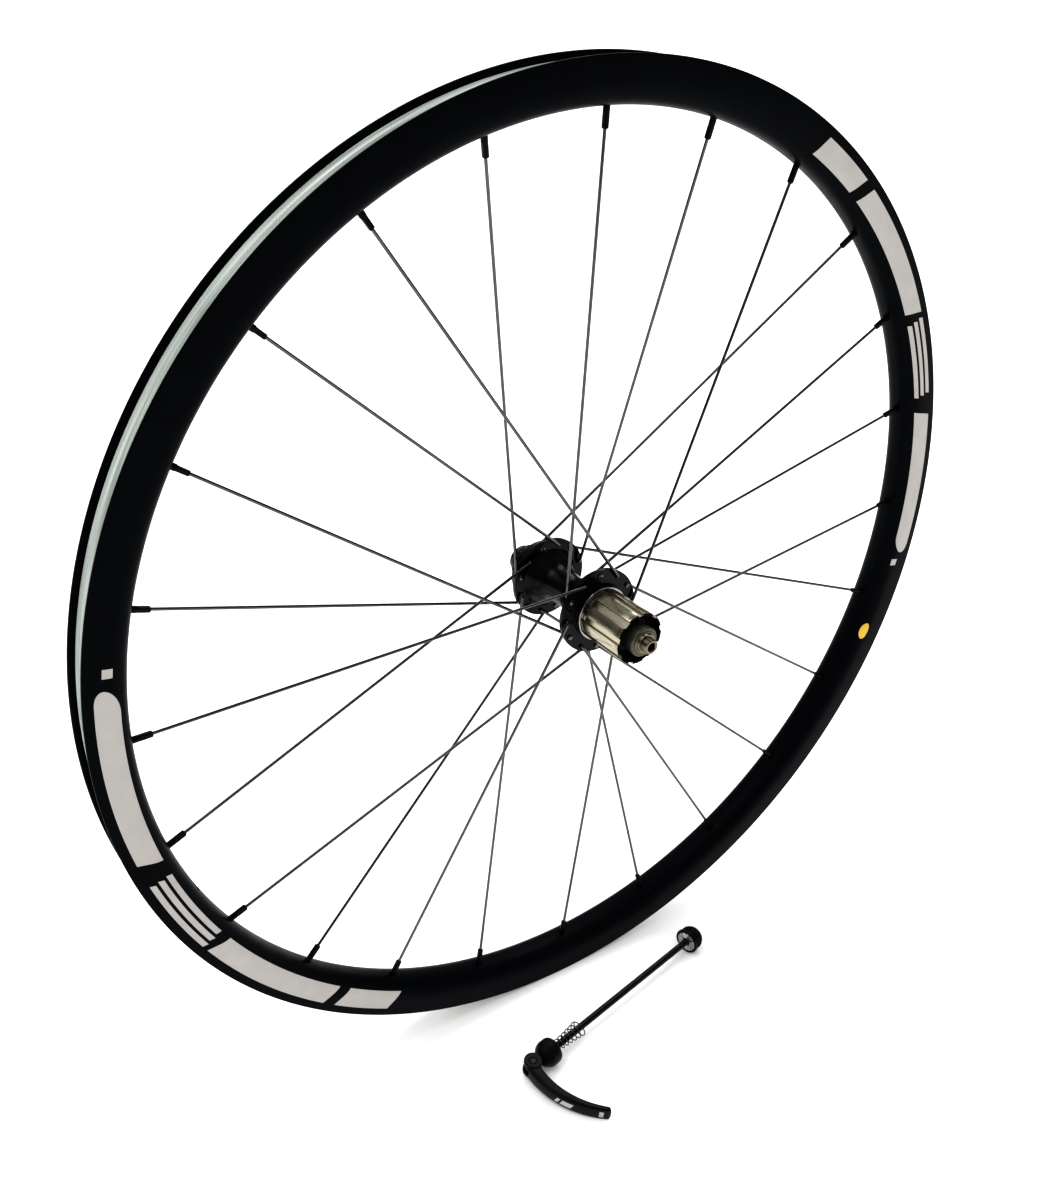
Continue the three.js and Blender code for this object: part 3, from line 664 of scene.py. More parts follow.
def rim_grids(rim):
    """The rim: across the spoke face, up a side, over the hook and through the well, all round the wheel."""
    valve = [(rim.valve_angle, rim.valve_r)]
    nipples = [(a, rim.hole_r) for a in FIRST_NIPPLE - around(len(SPOKE_NODES))]
    angles = lines_round(RIM_SEGMENTS, nipples + valve, rim.face_r)
    middle = np.unique(np.concatenate([ring_offsets(rim.hole_r), ring_offsets(rim.valve_r)]).round(7))
    middle = np.concatenate([[-7.3 * MM, -6.5 * MM], middle, [6.5 * MM, 7.3 * MM]])
    half = rim.half_width
    turn_in = np.radians(np.linspace(56, 3, 16))
    power = 2 / rim.roundness
    curve_r = rim.shoulder_r - (rim.shoulder_r - rim.face_r) * np.sin(turn_in) ** power
    curve = np.stack([curve_r, half * np.cos(turn_in) ** power], axis=1)
    seat_r, well_r = rim.outer_r - SEAT_DEPTH, rim.outer_r - WELL_DEPTH
    top = rounded([
        (rim.shoulder_r + 0.6 * MM, half), (rim.outer_r, half, 0.7 * MM),
        (rim.outer_r, half - 1.9 * MM, 0.7 * MM), (rim.outer_r - 1.7 * MM, half - 2.2 * MM, 0.6 * MM),
        (seat_r + 1.6 * MM, half - 1.9 * MM, 0.5 * MM), (seat_r, half - 2.0 * MM, 0.3 * MM),
        (seat_r, 6.5 * MM, 1 * MM), (well_r, 4.6 * MM, 0.8 * MM),
    ], closed=False)
    side = np.vstack([curve, top])
    floor = ring_offsets(rim.valve_r)
    floor = floor[abs(floor) < 4.45 * MM]
    columns = np.vstack([
        np.stack([face_radius(middle, rim), middle], axis=1), side,
        np.stack([0 * floor + well_r, floor[::-1]], axis=1), side[::-1] * [1, -1],
    ])
    theta, r, y = laid_out(angles, columns)
    halfway_r = 0.5 * (rim.face_r + well_r)
    into_valve = np.zeros_like(y)
    face, well = slice(0, len(middle)), slice(len(middle) + len(side), -len(side))
    theta[:, face], y[:, face], into, lip = drilled(theta[:, face], y[:, face], rim.face_r, nipples, SPREAD)
    r[:, face] = face_radius(y[:, face], rim) + into * NIPPLE_HOLE_DEPTH + lip * RIM_CHAMFER
    for part, spread, inward in ((face, SPREAD, 1), (well, WELL_SPREAD, -1)):
        theta[:, part], y[:, part], into, lip = drilled(theta[:, part], y[:, part], rim.face_r, valve, spread)
        surface_r = face_radius(y[:, part], rim) if part is face else r[:, part]
        sunk = surface_r * (1 - into) + halfway_r * into + inward * lip * (1 - into) * RIM_CHAMFER
        r[:, part] = np.where((into > 0) | (lip > 0), sunk, r[:, part])
        into_valve[:, part] = into
    return [open_floor(grid(spun(r, y, theta)), into_valve)]


def tape_grids(rim):
    """The tape: a thin strip that follows the seats and the well, dimpled over each nipple's access hole."""
    valve = [(rim.valve_angle, rim.valve_r)]
    angles = lines_round(RIM_SEGMENTS, valve, rim.face_r)
    seat_r, well_r = rim.outer_r - SEAT_DEPTH, rim.outer_r - WELL_DEPTH
    edge = rim.half_width - 2.35 * MM
    floor = ring_offsets(rim.valve_r)
    floor = floor[abs(floor) < 4.2 * MM]
    over = rounded([
        (well_r + TAPE_TOP, 4.25 * MM), (seat_r + TAPE_TOP, 6.2 * MM, 1.2 * MM),
        (seat_r + TAPE_TOP, edge - 0.9 * MM, 0.7 * MM), (seat_r + 1.8 * MM, edge - 0.45 * MM),
    ], closed=False)
    under = rounded([
        (seat_r + 1.8 * MM, edge), (seat_r + TAPE_GAP, edge - 0.05 * MM, 0.2 * MM),
        (seat_r + TAPE_GAP, 6.35 * MM, 0.8 * MM), (well_r + TAPE_GAP, 4.35 * MM),
    ], closed=False)
    columns = np.vstack([
        np.stack([0 * floor + well_r + TAPE_TOP, floor], axis=1), over, under,
        np.stack([0 * floor + well_r + TAPE_GAP, floor[::-1]], axis=1),
        under[::-1] * [1, -1], over[::-1] * [1, -1],
    ])
    theta, r, y = laid_out(angles, columns)
    off = wrapped(theta - FIRST_NIPPLE, TURN / len(SPOKE_NODES)) * well_r
    top = slice(0, len(floor))
    bottom = slice(len(floor) + len(over) + len(under), 2 * len(floor) + len(over) + len(under))
    r[:, top] -= (DIMPLE_DEPTH * np.exp(-(off**2 + y**2) / DIMPLE_R**2))[:, top]
    into_valve = np.zeros_like(y)
    for part in (top, bottom):
        moved = drilled(theta[:, part], y[:, part], rim.face_r, valve, WELL_SPREAD)
        theta[:, part], y[:, part], into, _ = moved
        r[:, part] = r[:, part] * (1 - into) + (well_r + 0.6 * MM) * into
        into_valve[:, part] = into
    return [open_floor(grid(spun(r, y, theta)), into_valve)]


def film(rim, side, start, end, low, high, lean=0.0, rounding=(0.0, 0.0)):
    """A printed bar on a sidewall. It runs between two angles and two radii, its ends lean by an angle from
    low to high, and rounding draws the corners of its start and its end in towards its middle line."""
    along = np.linspace(0, 1, max(8, int(abs(end - start) * rim.outer_r / (1.5 * MM))))
    up = (1 - np.cos(np.linspace(0, math.pi, 27))) / 2
    a, b = np.meshgrid(along, up, indexing="ij")
    circle = 1 - np.sqrt(np.clip(1 - (2 * b - 1) ** 2, 0, 1))
    bow = np.sign(end - start) * (high - low) / rim.outer_r * circle
    theta = start + rounding[0] * bow + lean * b + (end - start - sum(rounding) * bow) * a
    r = low + (high - low) * b
    return strip(*(spun(r, side * (side_y(r, rim) + lift), theta) for lift in (PRINT_THICK, -0.2 * MM)))


def graphic_grids(rim):
    """Plain bars and stripes, in two zones half a turn apart on each sidewall."""
    bars = [(*bar[:2], BAR_LOW, BAR_HIGH, *bar[2:]) for bar in BARS]
    for k in range(STRIPES):
        inner = BAR_LOW + STRIPE_STEP * k * MM
        bars.append((*STRIPE_SPAN, inner, BAR_LOW + (STRIPE_STEP * k + STRIPE_WIDTH) * MM, 0.3, 0))
    made = []
    for side in (-1, 1):
        for zone in GRAPHIC_ZONES:
            for begin, stop, inner, outer, lean, end in bars:
                ends = zone * DEGREE - begin * DEGREE, zone * DEGREE - stop * DEGREE
                made += film(rim, side, *ends, inner, outer, -lean * DEGREE, (0, 0.8 * end))
    return made


def sticker_grids(rim):
    """Two small pale squares, on the sprocket side only."""
    squares = []
    for angle, middle in SQUARES:
        ends = (angle + 0.5) * DEGREE, (angle - 0.5) * DEGREE
        squares += film(rim, -1, *ends, middle * MM - SQUARE_HALF, middle * MM + SQUARE_HALF)
    return squares


def oval_grids(rim):
    """The oval sticker: a bar whose ends are half circles."""
    return film(rim, -1, 339.3 * DEGREE, 341.9 * DEGREE, 294.6 * MM, 301.4 * MM, 0, (1, 1))


# ------------------------------------------------------------------ spokes
def spoke_line(k, wire, hub, rim):
    """Where spoke k runs. Even ones go to the sprocket-side flange, and every second head faces outwards."""
    nipple = FIRST_NIPPLE - k * TURN / len(SPOKE_NODES)
    ahead = 1 if k % 4 in (1, 2) else -1
    on_drive = k % 2 == 0
    flange_y, hole_r = (-hub.drive_y, hub.drive_hole_r) if on_drive else (hub.brake_y, hub.brake_hole_r)
    side = 1 if (k % 2 == 1) == (k % 4 < 2) else -1
    hole_angle = nipple + ahead * wire.crossing
    hole = np.array([hole_r * math.cos(hole_angle), flange_y, hole_r * math.sin(hole_angle)])
    seat = rim.face_r * np.array([math.cos(nipple), 0, math.sin(nipple)])
    corner = np.array([hole[0], flange_y + side * (hub.thick / 2 + 0.2 * MM + wire.bend), hole[2]])
    direction = (seat - corner) / np.linalg.norm(seat - corner)
    return side, hole, seat, corner, direction


def along_spoke(k, stations, radii_at, angles, squareness=None):
    """Rings of points along a spoke's line: straight through the flange, round the elbow's arc, and straight
    to the rim. Each ring has its own radius, and squareness turns it from a circle towards a square."""
    scene = bpy.context.scene
    wire, hub = scene.wheel_spokes, scene.wheel_hub
    side, hole, seat, corner, direction = spoke_line(k, wire, hub, scene.wheel_rim)
    axial = np.array([0, side, 0.0])
    turn = math.acos(float(axial @ direction))
    bend_r = wire.bend / math.tan(turn / 2)
    start = hole - axial * (hub.thick / 2 + 1.4 * MM)
    neck = np.linalg.norm(corner - start) - wire.bend
    elbow = bend_r * turn
    at_seat = neck + elbow + np.linalg.norm(seat - corner) - wire.bend
    s = stations(neck, elbow, at_seat)
    r = radii_at(neck, elbow, at_seat)
    normal = direction - axial * (direction @ axial)
    normal /= np.linalg.norm(normal)
    across = np.cross(normal, axial)
    bent = np.clip(s - neck, 0, elbow) / bend_r
    past = np.maximum(s - neck - elbow, 0)
    line = start + np.outer(np.minimum(s, neck) + bend_r * np.sin(bent) + past * np.cos(bent), axial)
    line = line + np.outer(bend_r * (1 - np.cos(bent)) + past * np.sin(bent), normal)
    side_way = np.outer(np.cos(bent), normal) - np.outer(np.sin(bent), axial)
    c, d = np.cos(angles)[:, None], np.sin(angles)[:, None]
    if squareness is not None:
        square = 1 / (abs(c) ** 6 + abs(d) ** 6) ** (1 / 6)
        r = r * (1 - squareness + squareness * square)
    else:
        r = r + 0 * c
    return line + (r * c)[..., None] * side_way + (r * d)[..., None] * across


def wire_grids(k, wire):
    """A wire: domed head, neck, elbow and butted shaft."""
    dome = np.radians(np.linspace(0, 90, 6))
    head = 1.1 * MM

    def stations(neck, elbow, at_seat):
        straight = np.linspace(neck + elbow, at_seat + 3 * MM, 14)
        return np.concatenate([
            head * 0.8 * (1 - np.cos(dome)), [head, head + 0.05 * MM, head + 0.3 * MM],
            np.linspace(neck, neck + elbow, 12), straight[1:], straight[-1:],
        ])

    def radii_at(neck, elbow, at_seat):
        taper = wire.neck_r + (wire.shaft_r - wire.neck_r) * ease(np.linspace(0, 4, 14)[1:])
        return np.concatenate([
            wire.head_r * np.sin(dome), [wire.head_r * 0.96, wire.neck_r * 1.15, wire.neck_r],
            np.full(12, wire.neck_r), taper, [0],
        ])

    return [grid(along_spoke(k, stations, radii_at, around(wire.sides)), (True, False))]


def nipple_grids(k, wire):
    """A nipple: chamfered tip, four wrench flats, round collar, and a body that goes into the rim."""
    full, flat = wire.nipple_r, wire.nipple_r * 0.84
    steps = np.array([
        (0, 0.5, 0), (0, 0.66, 0), (0.35, 0.86, 0.4), (0.5, 0.92, 1), (6.6, 0.95, 1), (7.1, 1.0, 0.6),
        (7.7, 1.16, 0), (8.0, 1.19, 0), (11.2, 1.19, 0), (15.0, 1.19, 0), (15.0, 0, 0),
    ])

    def stations(neck, elbow, at_seat):
        return at_seat - wire.nipple_length + steps[:, 0] * MM

    def radii_at(neck, elbow, at_seat):
        return np.minimum(steps[:, 1] * flat, full)

    points = along_spoke(k, stations, radii_at, around(24), steps[:, 2])
    return [grid(points, (True, False))]


# ------------------------------------------------------------------ hub, freehub and axle
SPOKE_HOLE_R = 1.35 * MM
THREAD_DEPTH, THREAD_PITCH = 0.18, 1.1  # of the mouth, in mm

# Profiles in mm: (radius, place along Y) and, where there is a third number, how far the corner is cut back.
HUB_START = [(17.2, -21, 0), (19, -21, 0.4), (19.2, -19.5, 0.3), (21.6, -19.5, 0)]
HUB_BODY = [
    (21.6, -16.5), (19.6, -15.2), (18.2, -11.5), (15.4, -6), (12.2, 4), (11.6, 11), (12.6, 21), (16.2, 28),
    (19.2, 32.6), (20.6, 34),
]
HUB_SHOULDER = [
    (20.2, 37, 0), (19.8, 37.3, 0.3), (19.8, 41.3, 0.4), (20.6, 42.1, 0.4), (20.6, 48.5, 0.5), (15.6, 48.5, 0),
]
HUB_INSIDE = [
    (13.5, 48.5), (13.5, 56), (12.3, 56), (12.3, 52), (9.5, 52), (9.5, -6.9), (12.3, -6.9), (12.3, -12.6),
    (16.8, -12.6), (16.8, -21),
]
DRIVE_CAP = [
    (2.75, -42, 0), (4.9, -42, 0.3), (4.9, -52.2, 0), (8.8, -52.2, 0.3), (8.8, -59.3, 0.3), (9.9, -60, 0.3),
    (9.9, -64.3, 0.5), (9.2, -65, 0.4), (7.4, -65, 0.2), (7.2, -65.5, 0.2), (6.6, -65.6, 0.2),
    (6.4, -67.5, 0.3), (5, -67.5, 0.1), (5, -71.4, 0.2), (4.4, -72, 0.3), (3.2, -72, 0.1), (2.75, -71.5, 0.2),
]
BRAKE_CAP = [
    (2.75, 48, 0), (4.9, 48, 0.3), (4.9, 57.3, 0), (9.4, 57.6, 0), (9.4, 58.6, 0), (12.5, 58.6, 0.3),
    (12.5, 60.5, 0.4), (9.8, 61.5, 0.6), (9.5, 66.9, 0.5), (8.9, 67.5, 0.4), (5, 67.5, 0.1), (5, 71.4, 0.2),
    (4.4, 72, 0.3), (3.2, 72, 0.1), (2.75, 71.5, 0.2),
]
DUST_RING = [(15.9, -24, 0.2), (18.4, -24, 0.6), (18.4, -21.4, 0.5), (15.9, -21.4, 0.2)]

# (radius, place along Y, share of the tooth's height) in mm.
ROTOR_SEAT = [
    (13.2, 48.3, 0), (14, 48.3, 1), (14, 56.7, 1), (13.8, 57.4, 0.3), (13.2, 57.4, 0), (13.2, 56, 0),
]

# (radius, place along Y, share of the land's height, share of the pawl pocket's depth) in mm.
FREEHUB_NOSE = [
    (15.6, -24.3, 0, 0), (15.6, -21.6, 0, 0), (12.9, -21.6, 0, 0), (12.9, -20.15, 0, 0), (12.9, -20.05, 0, 1),
    (12.9, -17.55, 0, 1), (11.7, -17.5, 0, 1), (11.7, -16.3, 0, 1), (12.9, -16.25, 0, 1), (12.9, -13.75, 0, 1),
    (12.9, -13.65, 0, 0), (12.7, -13.2, 0, 0), (8.2, -13.2, 0, 0), (8.2, -25.3, 0, 0),
]


def flange_face(y, hole_r, way):
    """Grid columns across a flange's hole circle, from its inner side outwards or the other way."""
    rings = way * ring_offsets(SPOKE_HOLE_R)
    return np.stack([hole_r + rings, 0 * rings + y], axis=1)


def flange_lip(y, r, half):
    """The rounded outer edge of a flange."""
    cut = 0.6 * MM
    return rounded([(r - cut, y - half), (r, y - half, cut), (r, y + half, cut), (r - cut, y + half)], False)


def hub_grids(hub):
    """The hub shell: a turned profile with twelve drilled holes in each flange, and a splined rotor seat."""
    count = len(SPOKE_NODES)
    centres = FIRST_NIPPLE - around(count) + bpy.context.scene.wheel_spokes.crossing
    angles = lines_round(count * 5, [(a, SPOKE_HOLE_R) for a in centres], hub.drive_hole_r)
    half = hub.thick / 2
    flanges = ((-hub.drive_y, hub.drive_r, hub.drive_hole_r), (hub.brake_y, hub.brake_r, hub.brake_hole_r))
    drive, brake = (
        [flange_face(y - half, hole_r, 1), flange_lip(y, r, half), flange_face(y + half, hole_r, -1)]
        for y, r, hole_r in flanges
    )
    start, shoulder = (rounded(np.array(part) * MM, False) for part in (HUB_START, HUB_SHOULDER))
    body = through(np.array(HUB_BODY) * MM, 6)
    parts = [start, *drive, body, *brake, shoulder, np.array(HUB_INSIDE) * MM]
    columns = np.vstack(parts)
    begins = np.cumsum([0] + [len(p) for p in parts])
    theta, r, y = laid_out(angles, columns)
    for k in (1, 3, 5, 7):
        part = slice(begins[k], begins[k + 1])
        own, hole_r = centres[k // 4::2], flanges[k // 4][2]
        inwards = 1 if k in (1, 5) else -1
        holes = [(a, SPOKE_HOLE_R * hole_r / hub.drive_hole_r) for a in own]
        across = (r[:, part] - hole_r) * hole_r / hub.drive_hole_r
        theta[:, part], across, into, lips = drilled(theta[:, part], across, hole_r, holes, SPREAD)
        r[:, part] = hole_r + across * hub.drive_hole_r / hole_r
        y[:, part] += inwards * (into * (half - 0.05 * MM) + lips * (1 - into) * 0.12 * MM)
    edges = (-10, -7, -6.2, -5.6, -5, -4.2, 0, 4.2, 5, 5.6, 6.2, 7)
    teeth = np.sort(np.concatenate([around(hub.seat_teeth) + math.radians(a) for a in edges]))
    tooth = wrapped(teeth, TURN / hub.seat_teeth)
    out = 1 * MM * ease((math.radians(6.2) - abs(tooth)) / math.radians(1.2))[:, None]
    seat_r, seat_y, raised = np.array(ROTOR_SEAT).T
    return [grid(spun(r, y, theta)), grid(spun(seat_r * MM + out * raised, seat_y * MM, teeth[:, None]))]


def freehub_grids(free):
    """The freehub body. Each grid line round it has a radius from the profile, raised on the splined stretch
    by the lands, cut at the nose by three flat-floored pawl pockets, and threaded in the mouth."""
    pitch = TURN / free.grooves
    wide = np.where(np.arange(free.grooves) == 0, 8.6, 7.2) * DEGREE
    centres = free.key_groove + np.arange(free.grooves) * pitch
    angles = [centres, centres + pitch / 2, centres - wide * 0.5, centres + wide * 0.5]
    for edge in np.array([-1.1, -0.7, -0.4, -0.1, 0.2, 0.7]) * DEGREE:
        angles += [centres - wide + edge, centres + wide - edge]
    angles += [centres + pitch * k for k in (0.32, 0.41, 0.59, 0.68)]
    pockets = TURN / 4 + around(3)
    angles += [pockets + a * DEGREE for a in (-38.6, -38, -37.4, -25, -12, 0, 8, 9.4, 10, 10.6)]
    angles = np.unique(np.round(np.concatenate(angles) % TURN, 6))
    rows = np.arange(len(angles))
    off = abs(wrapped(angles[:, None] - centres))
    near = off.argmin(axis=1)
    inset = off[rows, near] - wide[near]
    land = (free.land_r - free.groove_r) * ease((inset + 0.9 * DEGREE) / (1.1 * DEGREE))
    side = wrapped(angles[:, None] - pockets)
    pocket = ease((side + 38.3 * DEGREE) / (0.6 * DEGREE)) * ease((10.3 * DEGREE - side) / (0.6 * DEGREE))
    nearest = side[rows, abs(side + 14 * DEGREE).argmin(axis=1)]
    floor_r = np.minimum(9.1 * MM / np.cos(np.clip(nearest, -0.72, 0.3)), 12.6 * MM)
    thread_y = np.linspace(-59.6, -53, 60)
    crest = THREAD_DEPTH * (1 - abs((thread_y / THREAD_PITCH % 1) * 2 - 1))
    mouth, groove = free.mouth_r / MM, free.groove_r / MM
    spec = np.array([
        (12.3, -25.3, 0, 0), (12.3, -51.9, 0, 0), (12.9, -52, 0, 0), (mouth, -52, 0, 0), (mouth, -52.9, 0, 0),
        *((mouth - c, y, 0, 0) for y, c in zip(thread_y[::-1], crest[::-1])),
        (mouth, -59.8, 0, 0), (mouth + 0.25, -60.4, 0, 0), (mouth + 0.3, -60.5, 0, 0),
        (groove - 0.1, -60.5, 0, 0), (groove - 0.02, -60.5, 0.5, 0), (groove, -60.2, 0.86, 0),
        *((groove, y, 1, 0) for y in (-59.9, -50, -40, -30, -24.5)), (groove, -24.32, 0.8, 0), *FREEHUB_NOSE,
    ])
    flat_r, y, raised, pocketed = spec.T
    r = flat_r * MM + land[:, None] * raised
    cut = pocketed * pocket.max(axis=1)[:, None]
    r = r * (1 - cut) + np.minimum(floor_r[:, None], r) * cut
    # The threaded mouth and the end face take the second material, a near-black painted shade for the shadowed
    # bore.
    dark = (y < -51.8) & ((flat_r < mouth + 0.35) | (y < -60.44)) & (raised < 0.7)
    return [grid(spun(r, y * MM, angles[:, None]), material=dark.astype(np.int32))]


def lathe(profile, split=None):
    """A closed rounded profile turned about Y. Below the split radius it takes the second material."""
    outline = rounded(np.array(profile) * MM)
    numbers = 0 if split is None else (outline[:, 0] < split * MM).astype(np.int32)
    return [grid(spun(*outline.T, around(128)[:, None]), material=numbers)]


# ------------------------------------------------------------------ skewer
def lathe_rod(profile):
    """A closed rounded profile of (x, radius) turned about the skewer's rod."""
    return grid(spun_on_rod(*rounded(np.array(profile) * MM).T, around(96)[:, None]))


def lathe_pin(profile, segments=64, offset=0.0):
    """A closed rounded profile of (radius, z) turned about the cam pin."""
    r, z = rounded(np.array(profile) * MM).T
    a = around(segments)[:, None]
    return grid(to_skewer(np.stack([offset + r * np.cos(a), r * np.sin(a), z + 0 * a], axis=-1)))


def plug(r, half, cut=0.0):
    """The profile of a solid round plug, for lathe_pin."""
    return [(0, -half, 0), (r, -half, cut), (r, half, cut), (0, half, 0)]


def rod_grids(skewer):
    """The rod: an eye round the cam pin, a plain shank, and a thread cut as a helix in its last stretch."""
    eye = lathe_pin([(2.65, -2.5, 0.3), (4.6, -2.5, 0.5), (4.6, 2.5, 0.5), (2.65, 2.5, 0.3)])
    pitch, end = 0.8 * MM, skewer.rod_end
    start = end - 17 * MM
    shank = np.linspace(3.3 * MM, start, 60)
    x = np.concatenate([[3.2 * MM] * 2, shank, np.arange(start, end, pitch / 6)[1:], [end] * 2])
    a = around(24)[:, None]
    phase = (x / pitch - a / TURN) % 1
    runs = ease((x - start) / MM) * ease((end - 0.6 * MM - x) / (0.8 * MM))
    depth = 0.42 * MM * (1 - abs(2 * phase - 1)) * runs
    r = skewer.rod_r - depth - 0.4 * MM * ease((x - end + 0.6 * MM) / (0.6 * MM))
    r[:, [0, -1]] = 0
    return [eye, grid(spun_on_rod(x, r, a), (True, False))]


LEVER_SPINE = np.array([(-1.2, 1), (-8.4, -22), (-1, -44), (12.5, -59.4)]) * MM
LEVER_HALF = 5.4 * MM
LEVER_TAPER = 0.06
LEVER_EDGE = 0.32  # exponent that squares the blade's edges


def lever_skin(t, angle, shrink=1.0, shift=0.0, lift=0.0):
    """Points on the lever's blade. Its middle line is a cubic Bezier curve and its section a superellipse,
    4.9 mm deep from the middle at the root and 3 mm less at the tip, with a scoop along its inner face."""
    t = np.asarray(t, float)
    weights = np.stack([(1 - t) ** 3, 3 * t * (1 - t) ** 2, 3 * t**2 * (1 - t), t**3], axis=-1)
    blend = 2 * t * (1 - t)
    slopes = np.stack([-((1 - t) ** 2), (1 - t) ** 2 - blend, blend - t**2, t**2], axis=-1)
    centre, ahead = weights @ LEVER_SPINE, slopes @ LEVER_SPINE
    ahead = ahead / np.linalg.norm(ahead, axis=-1, keepdims=True)
    outwards = np.stack([ahead[..., 1], -ahead[..., 0]], axis=-1)
    c, s = np.cos(angle), np.sin(angle)
    across = np.sign(c) * abs(c) ** 0.42
    z = np.sign(s) * abs(s) ** LEVER_EDGE * (LEVER_HALF + lift) * shrink * (1 - LEVER_TAPER * t)
    depth = (4.9 - 3 * t) * MM + lift
    crown = 1 - 0.16 * (z / LEVER_HALF) ** 2
    scooped = ease((t - 0.16) / 0.14) * ease((0.93 - t) / 0.12)
    scoop = 1 - 0.62 * scooped * np.clip(1 - (z / (0.72 * LEVER_HALF)) ** 4, 0, 1)
    u = across * depth * shrink * np.where(c > 0, crown, scoop)
    flat = centre + ahead * shift[..., None] if np.ndim(shift) else centre
    return np.concatenate([flat + outwards * u[..., None], z[..., None]], axis=-1)


def lever_blade():
    """The blade, with a rounded end at each side of its middle stretch."""
    cap = np.radians(np.linspace(90, 0, 7))
    root, tip = cap[:-1], cap[::-1][1:]
    t = np.concatenate([np.zeros(6), np.linspace(0, 1, 70), np.ones(6)])
    shrink = np.concatenate([np.cos(root), np.ones(70), np.cos(tip)])
    reach = np.concatenate([-2.0 * MM * np.sin(root), np.zeros(70), 1.9 * MM * np.sin(tip)])
    t, shrink, reach = (np.repeat(v[:, None], 64, axis=1) for v in (t, shrink, reach))
    angle = np.repeat(around(64)[None, :], len(t), axis=0)
    return grid(to_skewer(lever_skin(t, angle, shrink, reach)), (False, True))


def box_grid(low, high, steps, power):
    """A box with soft edges: a superellipsoid between two corners."""
    u = np.radians(np.linspace(-90, 90, steps))[:, None]
    v = around(2 * steps)[None, :]
    fold = np.stack([np.cos(u) * np.cos(v), np.cos(u) * np.sin(v), np.sin(u) + 0 * v], axis=-1)
    fold = np.sign(fold) * abs(fold) ** power
    low, high = np.array(low) * MM, np.array(high) * MM
    return grid(to_skewer((low + high) / 2 + fold * (high - low) / 2), (False, True))


def shaped(name, grids, modifiers, cutters):
    """A mesh with modifiers applied: a solid first, and then what each cutter takes away."""
    scene = bpy.context.scene
    things = []
    for parts in (grids, *([cutter] for cutter in cutters)):
        things.append(bpy.data.objects.new(name, mesh_of(name, parts)))
        scene.collection.objects.link(things[-1])
    work = things[0]
    cuts = ({"operation": "DIFFERENCE", "solver": "EXACT", "object": tool} for tool in things[1:])
    for kind, settings in (*modifiers, *(("BOOLEAN", cut) for cut in cuts)):
        modifier = work.modifiers.new(kind, kind)
        for key, value in settings.items():
            setattr(modifier, key, value)
    graph = bpy.context.evaluated_depsgraph_get()
    result = bpy.data.meshes.new_from_object(work.evaluated_get(graph))
    for thing in things:
        used = thing.data
        bpy.data.objects.remove(thing)
        bpy.data.meshes.remove(used)
    if len(result.polygons) < 100:
        raise RuntimeError(f"{name} lost its shape")
    return result


def lever_mesh():
    """The lever: blade and cam barrel made one and smoothed, slotted for the rod and bored for the pin."""
    barrel = lathe_pin(plug(6.5, 5.8, 0.7), 96, 0.5 * MM)
    remesh = ("REMESH", {"mode": "VOXEL", "voxel_size": 0.24 * MM, "use_smooth_shade": True})
    smooth = ("SMOOTH", {"factor": 0.5, "iterations": 6})
    slot = box_grid((-13, -3.4, -2.8), (13, 10.6, 2.8), 24, 0.12)
    hollow, bore = lathe_pin(plug(4.9, 2.8, 0.2)), lathe_pin(plug(2.9, 7))
    return shaped("lever", [lever_blade(), barrel], (remesh, smooth), (slot, hollow, bore))


def lever_film(low_t, high_t, half_z, lean=0.0):
    """A printed patch on the lever's outer face, between two places along it and as far to either side."""
    t, share = np.meshgrid(np.linspace(low_t, high_t, 24), np.linspace(0, 1, 14), indexing="ij")
    z = (-half_z + 2 * half_z * share) * MM
    t = t + lean * share
    sine = np.clip(abs(z) / (LEVER_HALF * (1 - LEVER_TAPER * t)), 0, 1) ** (1 / LEVER_EDGE)
    angle = np.sign(z) * np.arcsin(sine)
    return strip(*(to_skewer(lever_skin(t, angle, lift=lift)) for lift in (PRINT_THICK, -0.25 * MM)))


# Profiles in mm: (place along the rod, radius, how far the corner is cut back).
HEAD_CAP = [
    (8.0, 2.8, 0.2), (8.0, 5.0, 0.5), (9.2, 6.4, 0.8), (12, 8.6, 1.4), (14.4, 9.5, 1.2), (19.4, 9.5, 0.6),
    (21.2, 8.9, 0.6), (21.8, 8.1, 0.3), (21.8, 7.6, 0.1), (19.9, 7.6, 0.2), (19.9, 2.8, 0.2),
]
NUT_CAP = [
    (173, 8.1, 0.1), (173, 9.3, 0.2), (173.5, 9.8, 0.4), (175.3, 9.8, 0.4), (175.6, 8.5, 0.4), (176.1, 8.5, 0),
    (177.6, 8.4, 0), (179.6, 8.3, 0), (181.2, 8.2, 0), (181.9, 8.1, 0.2), (183.5, 7.9, 0.6), (184.5, 6.9, 0.8),
    (184.5, 4.2, 0.3), (183.9, 3.6, 0.2), (183.9, 2.8, 0.1), (175.1, 2.8, 0.1), (175.1, 8.1, 0.1),
]


def insert_grids(toothed, back, outer):
    """A steel washer whose one face is cut by sixteen radial teeth, each a raised cosine round the turn."""
    angles = around(256)[:, None]
    inner, outer, toothed, back = (3.1 * MM, outer * MM, toothed * MM, back * MM)
    into = np.sign(back - toothed)
    bite = 0.45 * MM * np.clip(0.5 + 0.8 * np.cos(16 * angles + 0.3), 0, 1)
    r = np.array([inner, inner + 0.15 * MM, 0.5 * (inner + outer), outer - 0.3 * MM, outer, outer, inner])
    x = np.array([0.15, 0, 0, 0, 0.3, 0, 0]) * MM * into + np.array([toothed] * 5 + [back] * 2)
    return [grid(spun_on_rod(x + into * bite * np.array([1] * 5 + [0] * 2), r, angles))]


